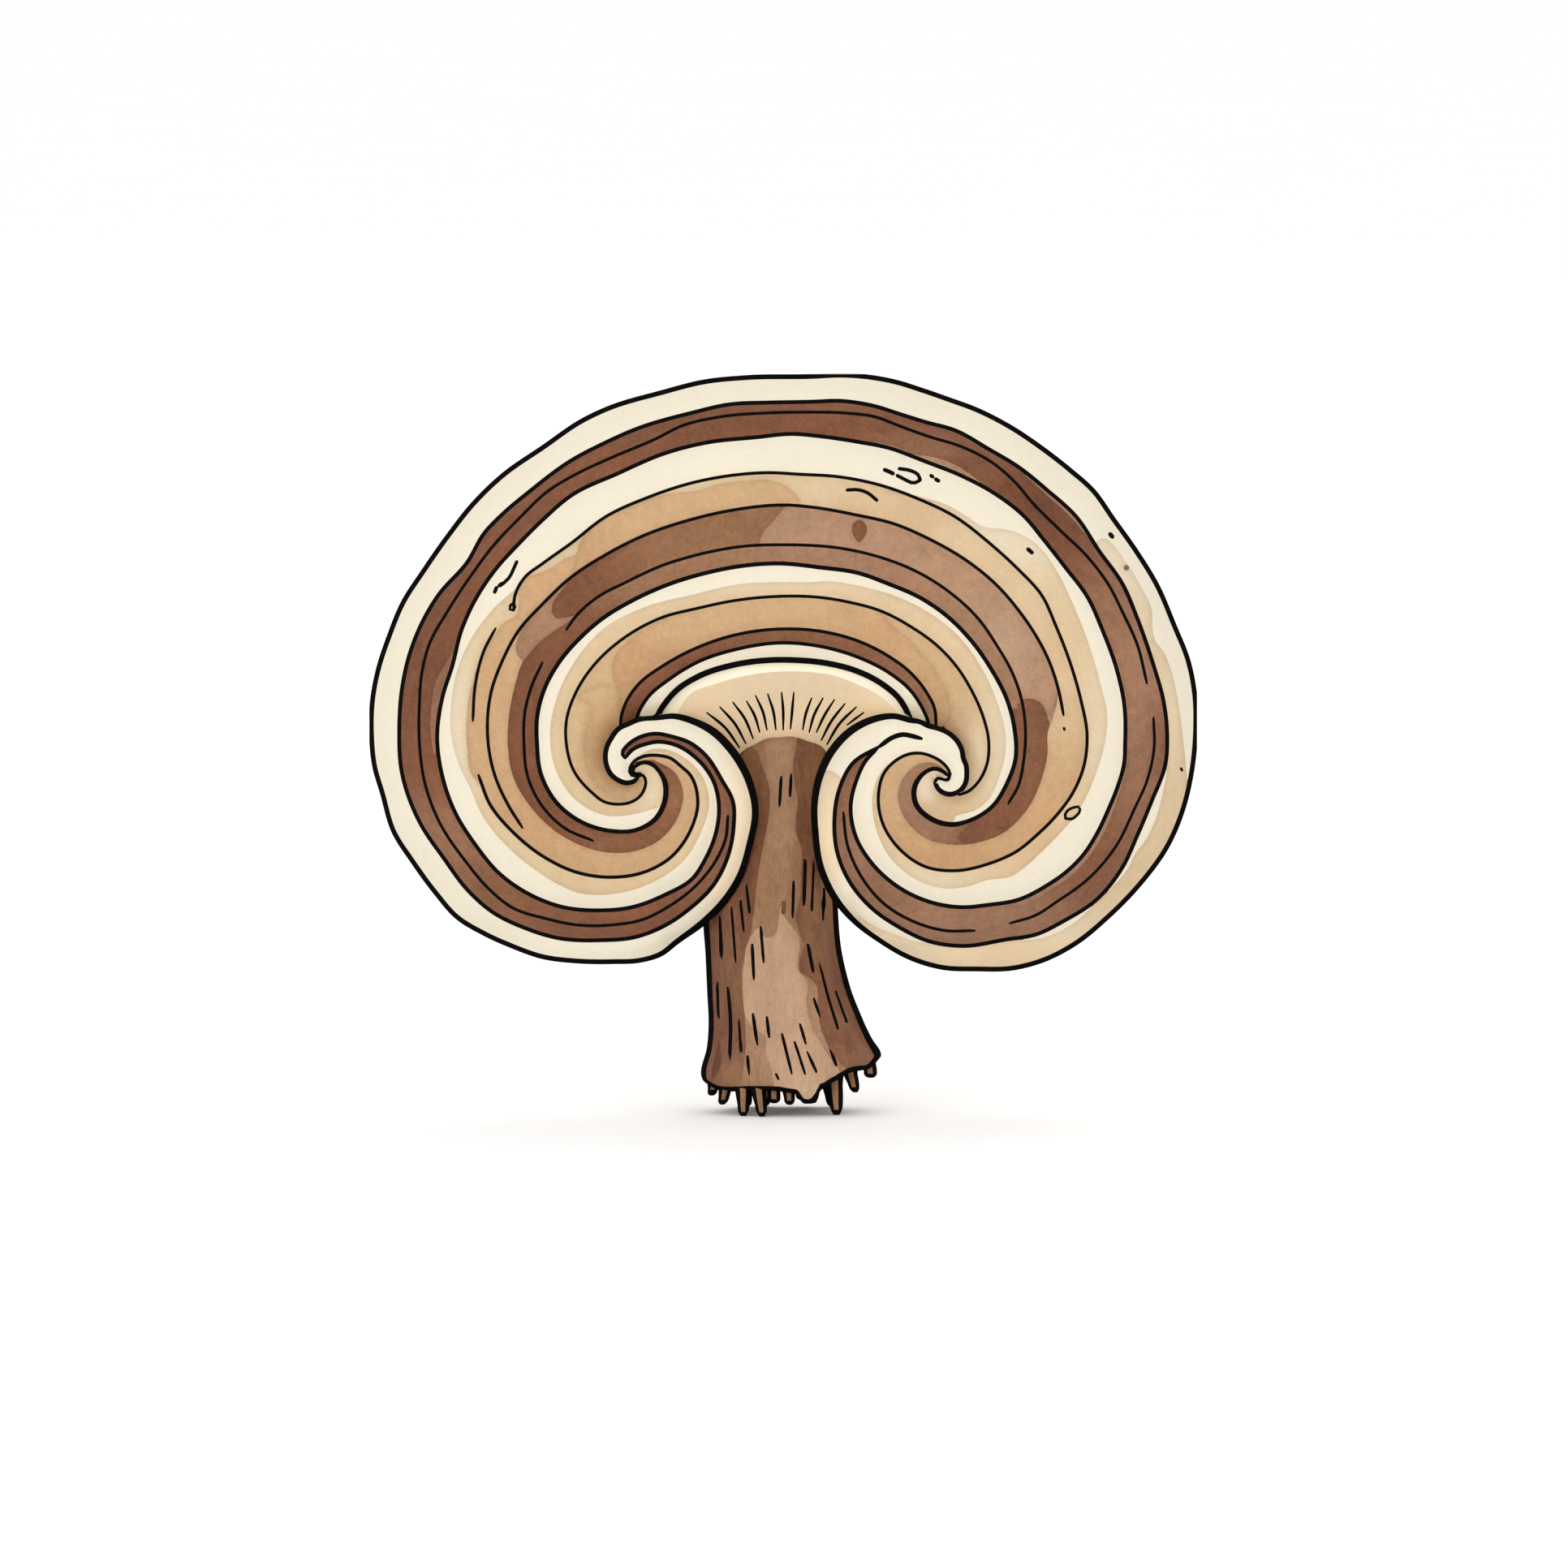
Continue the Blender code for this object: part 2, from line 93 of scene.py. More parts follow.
RIM_RIGHT = [
    (1001, 462), (1036, 460.5), (1072, 463), (1104, 469), (1136, 479), (1169, 490.5),
    (1204, 503.5), (1244, 524), (1283, 550), (1319, 578), (1347, 603), (1372, 638), (1401, 679),
    (1426, 720), (1447, 769), (1465, 815), (1473, 858), (1474, 894), (1469, 951), (1458, 998),
    (1440, 1041), (1404, 1091), (1365, 1131), (1326, 1163), (1283, 1185), (1247, 1194),
    (1204, 1195), (1161, 1193), (1119, 1180), (1083, 1159), (1054, 1137, 3.2), (1026, 1103, 4.0),
    (1011, 1069, 3.8), (1004, 1023, 3.8), (1003, 994, 3.8), (1010, 955, 4.4), (1026, 923, 4.6),
    (1051, 898, 4.4), (1079, 885, 3.9), (1101, 882, 3.4), (1122, 887, 3.2), (1133, 889),
    (1144, 894, 3.0), (1155, 897), (1170, 904), (1180, 914), (1185, 924), (1187, 935), (1190, 942),
    (1191, 951), (1189, 966), (1182, 975), (1170, 979), (1160, 976), (1154, 970, 2.6),
    (1152, 963, 2.4), (1156, 958, 1.6),
]
ARCH = [
    (811, 884), (820, 866), (833, 851), (861, 833), (904, 819), (951, 813), (976, 813),
    (1019, 817), (1054, 826), (1086, 842), (1108, 861), (1122, 887),
]
# Half widths of ink, how much wider it is laid than a table says, and how far past its edge a
# triangle still takes it.
RIM_INK = 2.8
ARCH_INK = 3.8
RIB_INK = 1.75
FIBRE_INK = 2.0
HEM_INK = 6.6
INK_SPREAD = 0.35
INK_EDGE = 0.15
# The two lobes: the eye of the whorl, the angle at which its hook ends, where it meets the arch,
# and how far over the top its edge is followed.
HALVES = [
    {"side": -1, "eye": (784, 954), "hook_end": 690, "join": (811, 881), "far": (1169, 494)},
    {"side": 1, "eye": (1162, 957), "hook_end": 716, "join": (1121, 884), "far": (747, 506)},
]
# The edge above this height is the fan's top.
TOP_Y = 720

# Forward places along the fan by angle: 45 is the middle of the fan and 90 is above a whorl's
# eye; from there they turn round the eye, 180 outward, 270 down and 360 towards the stem.
MARGIN_FORWARD = [
    (45, -12), (90, -10), (135, -4), (180, 2), (225, 10), (270, 24), (315, 50), (360, 84),
    (405, 122), (450, 150), (495, 162), (540, 164), (630, 157), (690, 152), (740, 150),
]
INNER_FORWARD = [
    (45, 104), (83, 110), (90, 112), (135, 122), (180, 127), (225, 133), (270, 140), (330, 148),
    (740, 148),
]
CREST_FORWARD = [
    (45, 132), (90, 134), (180, 135), (270, 141), (315, 147), (360, 151), (405, 158), (450, 168),
    (540, 171), (630, 161), (690, 154), (740, 151),
]
# How much of the way out the inner edge rolls down over, by the same angles.
INNER_ROLL = [(45, 0.16), (270, 0.20), (330, 0.35), (450, 0.60), (740, 0.80)]
MARGIN_THICKNESS = 13
FLESH_THICKNESS = 46
# The width of the flat edge that carries the margin's ink.
FLAT_EDGE = 3.5
# Zones' relief: how far in from the rim it fades, and the widths of a crown's slope and a furrow.
CALM_RIM = 14
CROWN_SLOPE = 16
FURROW_WIDTH = 4
# The back: how far apart its points are, and how wide its pale, sterile margin is.
BACK_SPACING = 10.0
PALE_MARGIN = 55
# The niche starts a step behind the arch's edge and falls back on its way down.
NICHE_STEP = 6
NICHE_FALL = 58
NICHE_REACH = 92
RIB_GROOVE = 1.2
# The neck, as (y, half width, forward place of its back), and its least thickness.
NECK_EDGE = 4
NECK_ROWS = [
    (716, 90, 91), (736, 104, 79), (756, 118, 58), (776, 132, 32), (796, 144, 4), (817, 154, -22),
    (840, 160, -46), (864, 164, -64), (886, 162, -77), (904, 136, -87), (920, 106, -93),
    (937, 84, -97), (954, 74, -97), (970, 67, -93), (982, 59, -89), (991, 47, -86), (998, 30, -84),
    (1002, 10, -83),
]

# The inked lines of the face, as (half width, points). The first group runs from the left
# whorl over the top to the right whorl; the hairs and pen marks lie within the zones.
FACE_LINES = {
    "zone_1": (2.2, [
        (770, 934), (767, 928), (771, 921), (780, 913), (795, 906), (807, 904), (830, 908),
        (850, 915), (869, 930), (890, 962), (903, 987), (904, 1019), (897, 1055), (879, 1091),
        (851, 1119), (815, 1143), (783, 1155), (740, 1159), (686, 1156), (647, 1144), (608, 1125),
        (577, 1098), (547, 1058), (517, 1013), (495, 951), (492, 897), (495, 851), (504, 808),
        (519, 769), (540, 733), (576, 692), (597, 656), (619, 633), (651, 606), (704, 566.5),
        (747, 544), (783, 528), (851, 508), (901, 497), (947, 495), (1000, 494), (1036, 493),
        (1076, 499), (1111, 510), (1140, 519), (1176, 529), (1219, 553), (1254, 574), (1290, 603),
        (1326, 636), (1354, 678), (1383, 719), (1401, 761), (1422, 822), (1433, 861), (1438, 904),
        (1436, 941), (1419, 987), (1401, 1030), (1383, 1069), (1351, 1109), (1311, 1135),
        (1276, 1152), (1240, 1158), (1186, 1166), (1144, 1160), (1108, 1143), (1076, 1121),
        (1047, 1087), (1031, 1048), (1028, 1012), (1033, 976), (1051, 940), (1083, 920),
    ]),
    "zone_1_tail": (2.7, [(1083, 920), (1101, 908), (1112, 905), (1124, 907), (1135, 910)]),
    "zone_2": (2.2, [
        (771, 934), (776, 927), (784, 921), (795, 917), (810, 914), (833, 918), (858, 934),
        (879, 962), (886, 994), (883, 1023), (869, 1059), (854, 1082), (819, 1103), (779, 1118),
        (736, 1122), (694, 1118), (654, 1103), (615, 1076), (586, 1041), (561, 1001), (545, 955),
        (539, 908), (545, 861), (558, 819), (569, 776), (583, 744), (611, 701), (640, 669),
        (669, 640), (704, 610), (761, 583), (819, 558), (869, 545), (933, 538), (976, 534),
        (1011, 537), (1058, 544), (1094, 551), (1140, 568), (1183, 585), (1226, 608), (1261, 635),
        (1286, 665), (1311, 697), (1340, 736), (1358, 776), (1376, 826), (1385, 869), (1386, 915),
        (1384.5, 942), (1376.5, 970), (1366, 996), (1353, 1024), (1334, 1054), (1313, 1075),
        (1290, 1091), (1254, 1109), (1219, 1115), (1183, 1118), (1147, 1112), (1108, 1094),
        (1076, 1066), (1054, 1030), (1048, 994), (1056, 959), (1066, 938), (1081, 922),
    ]),
    "zone_3": (1.7, [
        (633, 751), (635, 733), (647, 711), (669, 694), (704, 669), (747, 636), (797, 613),
        (851, 595), (904, 585), (947, 582), (986, 584), (1033, 587), (1083, 597), (1133, 615),
        (1176, 636), (1219, 669), (1254, 701), (1283, 733), (1301, 772), (1319, 819), (1331, 861),
        (1339, 906), (1335, 944), (1322, 976), (1301, 1005), (1276, 1030), (1254, 1048),
        (1219, 1064), (1176, 1073), (1140, 1068), (1108, 1046), (1088, 1016), (1082, 984),
        (1090, 951), (1105, 936), (1120, 929), (1134, 928), (1148, 932), (1160, 939), (1168, 948),
        (1170.3, 955), (1168, 960), (1163.5, 961.2), (1158, 959), (1154, 960.3), (1152.5, 963.5),
    ]),
    "zone_3_low": (1.8, [
        (788, 954.5), (785, 956), (781.5, 956.5), (778.5, 955), (776.3, 951.5), (776.3, 947.5),
        (778.3, 942.5), (785, 935.5), (795, 931.5), (804, 930.5), (813, 931), (826, 934),
        (839, 944), (850, 954), (860, 987), (851, 1023), (826, 1057), (790, 1076), (751, 1081),
        (711, 1075), (669, 1055), (633, 1026), (604, 991), (590, 955),
    ]),
    "zone_3_side": (1.6, [(611, 774), (597, 801), (586, 844), (583, 888)]),
    "zone_4": (1.7, [
        (644, 1020), (626, 991), (610, 955), (601, 900), (606, 851), (619, 815), (640, 776),
        (669, 744), (704, 711), (747, 683), (790, 661), (851, 640), (904, 628), (969, 622),
        (1011, 626), (1054, 634), (1101, 645), (1147, 665), (1190, 690), (1229, 722), (1254, 751),
        (1276, 783), (1294, 819), (1304, 851), (1310, 881),
    ]),
    "zone_6": (2.3, [
        (789, 953.2, 1.7), (786, 953.8, 1.7), (782, 953, 1.7), (780, 950, 1.8), (781, 946),
        (785, 942.5), (790, 940), (795, 939.3), (804, 942), (813, 951), (819, 962, 3.0),
        (820, 984, 3.0), (808, 1009, 2.8), (783, 1023), (754, 1024), (719, 1014), (687, 990),
        (667, 954), (662, 915), (662, 886), (672, 847), (690, 815), (715, 786), (744, 761),
        (779, 740), (826, 719), (869, 706), (915, 697), (958, 694), (1011, 699), (1058, 706),
        (1094, 719), (1133, 736), (1169, 761), (1197, 790), (1222, 826), (1240, 861), (1250, 901),
        (1251, 934), (1240, 966), (1222, 994), (1197, 1010), (1172, 1016, 2.8), (1147, 1009, 3.0),
        (1128, 990, 3.0), (1126, 973, 3.0), (1130, 962, 2.8), (1139, 952), (1151, 947),
        (1161, 950), (1167, 955, 1.8),
    ]),
    "zone_7": (1.6, [
        (788, 953.6), (793.5, 956), (796, 963), (794, 973), (788, 982), (776, 989), (762, 991),
        (745, 988), (729, 976), (708, 951), (698, 915), (698, 890), (711, 851), (736, 815),
        (769, 786), (815, 761), (861, 749), (904, 740), (951, 735), (1011, 736), (1047, 742),
        (1086, 753), (1122, 772), (1154, 795), (1179, 822), (1197, 851), (1211, 883), (1218, 915),
        (1215, 944), (1203, 966), (1193, 975), (1182, 979),
    ]),
    "hair_1": (1.6, [
        (897, 1005), (894, 1034), (883, 1059), (858, 1091), (826, 1116), (790, 1134), (754, 1140),
        (711, 1140), (672, 1132), (632, 1119), (603, 1096), (575, 1063), (541, 1012), (524, 966),
        (517, 915), (517, 869), (520, 829), (529, 794), (551, 754), (579, 711), (608, 672),
        (640, 638), (676, 604), (711, 583), (754, 563), (808, 540), (840, 524), (886, 513),
        (944, 508), (994, 507), (1040, 508), (1079, 513), (1108, 524), (1144, 537), (1183, 549),
        (1222, 569), (1251, 594), (1272, 619), (1304, 651), (1340, 686), (1365, 719), (1383, 754),
        (1401, 794), (1413, 842),
    ]),
    "hair_1_side": (1.5, [
        (1421, 884), (1422, 919), (1413, 962), (1397, 998), (1376, 1041), (1344, 1080),
        (1301, 1112), (1276, 1128), (1244, 1138),
    ]),
    "hair_1_low": (1.6, [
        (1201, 1147), (1165, 1147), (1126, 1136), (1086, 1111), (1061, 1080), (1044, 1041),
        (1039, 1001),
    ]),
    "hair_5": (1.6, [
        (698, 776), (711, 758), (736, 736), (772, 717), (815, 697), (861, 683), (915, 673),
        (965, 671), (1040, 676), (1083, 686), (1129, 704), (1169, 729), (1204, 761), (1229, 797),
        (1247, 829), (1258, 861), (1263, 897), (1261, 936), (1254, 969), (1242, 990),
    ]),
    "hair_5_low": (1.6, [
        (669, 816), (656, 844), (647, 879), (646, 915), (651, 958), (669, 994), (697, 1021),
        (731, 1036),
    ]),
    "mark_curl": (1.9, [(637, 692), (633, 701), (628, 711), (621, 718)]),
    "mark_curl_end": (2.4, [(619, 719), (616, 721)]),
    "mark_curl_tail": (2.1, [(612, 724), (610, 729)]),
    "mark_loop": (1.6, [
        (633, 743), (629, 746), (629, 751), (633, 752), (635, 748), (633, 743),
    ]),
    "mark_curve": (1.9, [(1044, 603.5), (1056, 603), (1069, 607), (1080, 616)]),
    "mark_u": (2.0, [
        (1108, 577), (1122, 579.5), (1131.5, 585), (1133, 591), (1126, 594.5), (1114, 590),
        (1105.5, 585.5),
    ]),
    "mark_dash": (2.3, [(1090, 578.5), (1095, 580.5), (1100, 583)]),
    "mark_tick": (2.0, [(1147, 585.5), (1149, 587)]),
    "mark_tick_low": (2.2, [(1153, 590), (1156, 592)]),
    "mark_dot_1": (2.5, [(1368, 657.5), (1370.5, 660.5)]),
    "mark_dot_2": (2.3, [(1266.5, 676.5), (1271, 680.5)]),
    "mark_dot_3": (1.3, [(1310.5, 897), (1311, 899)]),
    "mark_dot_4": (1.4, [(1455.5, 947), (1456.5, 949)]),
    "mark_ring": (1.5, [
        (1312.5, 1008.5), (1312, 1003.5), (1316, 998), (1322.5, 995), (1329.5, 994.5),
        (1330.5, 998.5), (1327, 1004), (1320.5, 1009), (1312.5, 1008.5),
    ]),
}
# Lines that end under a lobe's lip.
UNDER_LINES = {
    "zone_8": (1.7, [
        (765, 896), (765, 888), (770, 869), (786, 844), (819, 819), (861, 797), (911, 781),
        (958, 775), (1019, 779), (1058, 790), (1094, 808), (1122, 829), (1142, 854), (1151, 872),
        (1153, 888), (1153, 898),
    ]),
    "zone_9": (1.9, [
        (785, 896), (785, 886), (797, 861), (826, 836), (861, 815), (911, 799), (958, 792),
        (1019, 798), (1058, 810), (1094, 828), (1122, 851), (1136, 872), (1144, 892), (1145, 902),
    ]),
    "arch": (3.3, [(809, 890), (811, 881), *ARCH[1:-1], (1120, 883), (1123, 893)]),
}
# Edges of washes that carry no ink.
WASH_EDGES = {
    "tan_rise": [
        (592, 966), (583, 957), (576, 922), (575, 890), (578, 860), (586, 830), (597, 800),
        (608, 785), (620, 768), (637, 757), (640, 735),
    ],
    "sand_left": [
        (790, 930), (800, 924), (819, 923), (844, 934), (867, 959), (874, 991), (865, 1023),
        (844, 1059), (811, 1084), (779, 1097), (740, 1103), (711, 1100), (690, 1091), (661, 1073),
        (626, 1044), (597, 1009), (579, 970), (565, 940), (556, 904), (556, 869), (565, 822),
        (583, 783), (611, 747), (640, 722),
    ],
    "sand_right": [
        (1098, 603), (1130, 611), (1165, 621), (1190, 635), (1210, 648), (1240, 652), (1262, 660),
        (1280, 673), (1300, 700), (1320, 740), (1340, 790), (1357, 848), (1364, 881), (1360, 920),
        (1351, 950), (1339, 980), (1322, 1008), (1301, 1032), (1282, 1051), (1262, 1069),
        (1248, 1079), (1215, 1085), (1190, 1093), (1165, 1095), (1142, 1090), (1115, 1075),
        (1095, 1055), (1082, 1030), (1075, 1000), (1075, 980), (1082, 957), (1094, 941),
    ],
    "brown_left": [
        (803, 936), (811, 939), (831, 951), (842, 976), (838, 1001), (819, 1030), (786, 1048),
        (754, 1051), (719, 1043), (683, 1023), (654, 994), (633, 958), (626, 918), (628, 879),
        (635, 844), (645, 815), (638, 806), (637, 796), (641, 784), (645, 771),
    ],
    "brown_right": [
        (1304, 851), (1301, 870), (1296, 886), (1291, 900), (1290, 930), (1283, 960), (1270, 990),
        (1255, 1010), (1235, 1027), (1210, 1037), (1185, 1041), (1163, 1040), (1140, 1033),
        (1122, 1018), (1110, 1000), (1106, 982), (1108, 968), (1115, 955), (1130, 942),
        (1145, 939), (1160, 944),
    ],
    "inner_sand": [
        (808, 996), (783, 1003), (747, 1005), (711, 987), (686, 951), (678, 906), (686, 861),
        (711, 811), (747, 772), (797, 747), (851, 733), (915, 719), (958, 717), (1000, 717),
        (1020, 716), (1060, 722), (1100, 733), (1140, 752), (1175, 778), (1200, 808),
        (1218, 840), (1230, 870), (1238, 900), (1238, 930), (1230, 960), (1218, 985),
        (1200, 999), (1182, 1004),
    ],
    "band_right": [
        (1352, 666), (1360, 662), (1370, 669), (1386, 690), (1408, 726), (1419, 750), (1420, 773),
        (1423, 788), (1434, 803), (1444, 829), (1450, 855), (1455, 886), (1459, 920), (1465, 976),
    ],
    "band_end": [(1004, 972), (1010, 958), (1019, 949), (1030, 953), (1039, 961)],
    "cream_right": [
        (1437, 941), (1437, 955), (1434, 970), (1430, 988), (1421, 1016), (1411, 1036),
        (1398, 1053), (1391, 1068), (1374, 1090), (1353, 1110), (1329, 1133), (1308, 1147),
        (1280, 1157), (1240, 1158),
    ],
    "cream_low": [
        (1044, 1102), (1050, 1118), (1072, 1138), (1104, 1152), (1138, 1162), (1152, 1161),
    ],
    "stain_break": [(971, 621), (960, 632), (951, 645), (941, 654), (935, 673)],
    "stain_edge": [
        (706, 712), (709, 690), (714, 671), (723, 655), (744, 640), (790, 617), (830, 607),
        (860, 604), (890, 595), (920, 592), (945, 591), (962, 595), (972, 601), (978, 606),
        (984, 613), (987, 624),
    ],
    "stain_left": [
        (764, 868), (757, 838), (754, 820), (760, 805), (772, 792), (784, 781), (800, 772),
        (822, 760),
    ],
    "stain_right": [
        (1086, 755), (1097, 768), (1122, 789), (1138, 808), (1157, 833), (1168, 858),
        (1171, 880), (1163, 894), (1153, 898),
    ],
    "patch_right": [
        (1293, 893), (1289, 879), (1283, 867), (1272, 861), (1262, 861), (1255, 866),
    ],
}
# The washes of the face from the outermost in, as (wash, pigment, outline, whether it ends under
# a lobe's lip). A minus sign runs a line backwards; (line, from, to) is a stretch of one.
WASHES = [
    ("sand", "sand", [
        "sand_left", ("zone_3", (640, 722), (1098, 601)), "sand_right", "-zone_6"], False),
    ("tan", "tan", [
        "zone_3_low", "tan_rise", ("zone_3", (635, 733), (1166, 960)), "-zone_6"], False),
    ("stain_top", "tan", ["stain_edge", ("zone_4", (987, 624), (706, 712))], False),
    ("clay", "clay", [
        "brown_left", ("zone_4", (645, 771), (1304, 851)), "brown_right", "-zone_6"], False),
    ("umber", "umber", ["zone_1", "-zone_2"], False),
    ("inner_sand", "sand", [
        ("zone_6", (789, 953), (818, 992)), "inner_sand", ("zone_6", (1172, 1014), (1167, 955)),
        [(1156, 958), (1152, 963), (1154, 970), (1160, 976), (1170, 979)], "-zone_7"], False),
    ("inner_tan", "honey", ["zone_7", [(1162, 957)], "-zone_8"], True),
    ("stain", "tan", [
        "stain_left", ("zone_7", (822, 760), (1086, 755)), "stain_right",
        ("zone_8", (1153, 898), (764, 868))], True),
    ("inner_umber", "umber", ["zone_8", "-zone_9"], True),
    ("band", "sand", [
        "band_right", ("rim_right", (1465, 976), (1004, 972)), "band_end",
        ("zone_1", (1039, 961), (1350, 672))], False),
    ("cream", "cream", ["cream_right", ("zone_1", (1240, 1158), (1437, 941))], False),
    ("cream", "cream", ["cream_low", ("zone_1", (1152, 1161), (1044, 1102))], False),
    ("brown", "brown", [
        ("zone_4", (645, 771), (971, 621)), "stain_break", ("hair_5", (935, 673), (698, 776)),
        [(680, 800), (655, 830)]], False),
    ("rose", "rose", [
        ("zone_4", (971, 621), (1304, 851)), [(1298, 872)], "patch_right",
        ("hair_5", (1258, 861), (935, 673)), "-stain_break"], False),
    ("umber", "umber", [
        "-patch_right", ("brown_right", (1293, 893), (1185, 1041)), [(1178, 1034), (1188, 1020)],
        ("zone_6", (1197, 1010), (1250, 880))], False),
]
PATCHES = [
    ("rose_left", "clay", [
        (645, 771), (640, 782), (636, 796), (638, 807), (644, 813), (653, 808), (663, 794),
        (682, 777), (702, 765), (712, 745), (704, 713), (680, 733)], False),
    ("leaf", "umber", [
        (704, 713), (690, 730), (681, 745), (681, 756), (686, 762), (696, 761), (711, 757),
        (736, 736), (772, 717), (815, 697), (861, 683), (876, 667), (872, 637), (851, 640),
        (790, 661), (748, 684)], False),
    ("ring", "umber", [
        (652, 806), (664, 792), (684, 777), (698, 768), (712, 757), (736, 736), (772, 717),
        (815, 697), (822, 705), (821, 713), (816, 720), (808, 725), (797, 730.5), (779, 739.5),
        (744, 761), (715, 786), (690, 815), (672, 847), (662, 886), (662, 915), (669, 954),
        (690, 991), (719, 1014), (754, 1024), (783, 1023), (808, 1009), (820, 984), (819, 962),
        (813, 951), (804, 942), (795, 939), *WASH_EDGES["brown_left"][:16]], False),
    ("tan_gap", "sand", [
        (653, 709), (664, 699), (676, 690.5), (688, 682), (701, 672.5), (713, 662), (724, 653),
        (718, 661), (713, 672), (711, 681), (696, 688), (680, 699), (663, 706)], False),
    ("spot", "umber", [
        (1058, 640), (1066, 645), (1068, 655), (1063, 664), (1059, 668), (1051, 659),
        (1050, 647)], False),
    ("spot", "brown", [(1388, 695), (1392, 699), (1388, 703), (1384, 699)], False),
    ("rose_sliver", "rose", [
        (1080, 545), (1104, 550), (1126, 559), (1147, 562), (1170, 569), (1190, 580),
        (1208, 594), (1229, 611), (1183, 585), (1140, 568), (1100, 553)], False),
    ("clay_sliver", "clay", [
        (562, 800), (549, 818), (538, 838), (532, 870), (531, 905), (536, 930), (539, 908),
        (545, 861), (553, 833)], False),
    ("clay_sliver", "clay", [
        (1384.5, 942), (1376.5, 970), (1366, 996), (1353, 1024), (1334, 1054), (1313, 1075),
        (1290, 1091), (1258, 1108), (1243, 1112), (1250, 1117), (1268, 1112), (1297, 1095),
        (1319, 1079.5), (1341, 1056.5), (1358.5, 1029), (1371.5, 999), (1380.5, 972),
        (1386, 951)], False),
    ("clay_sliver", "clay", [
        (1262, 583), (1290, 610), (1315, 632), (1350, 672), (1326, 636), (1290, 603)], False),
    ("stain_low", "tan", [
        (712, 860), (720, 863), (728, 871), (729, 883), (724, 895), (720, 908), (719, 927),
        (724, 949), (733, 965), (746, 976), (759, 984), (772, 986), (785, 980), (795, 967),
        (790, 953), (770, 966), (752, 955), (745, 930), (752, 908), (766, 892), (765, 872),
        (757, 846), (742, 844), (726, 850)], True),
]
# Ends of washes that run out without a darker edge: (x, y, radius).
SOFT_ENDS = [(846, 660, 52), (815, 708, 30), (742, 738, 40), (1046, 1108, 26)]
# How much a wash darkens where it pooled at its edge, and how wide that is.
POOL_SHADE = 0.12
POOL_WIDTH = 3.4
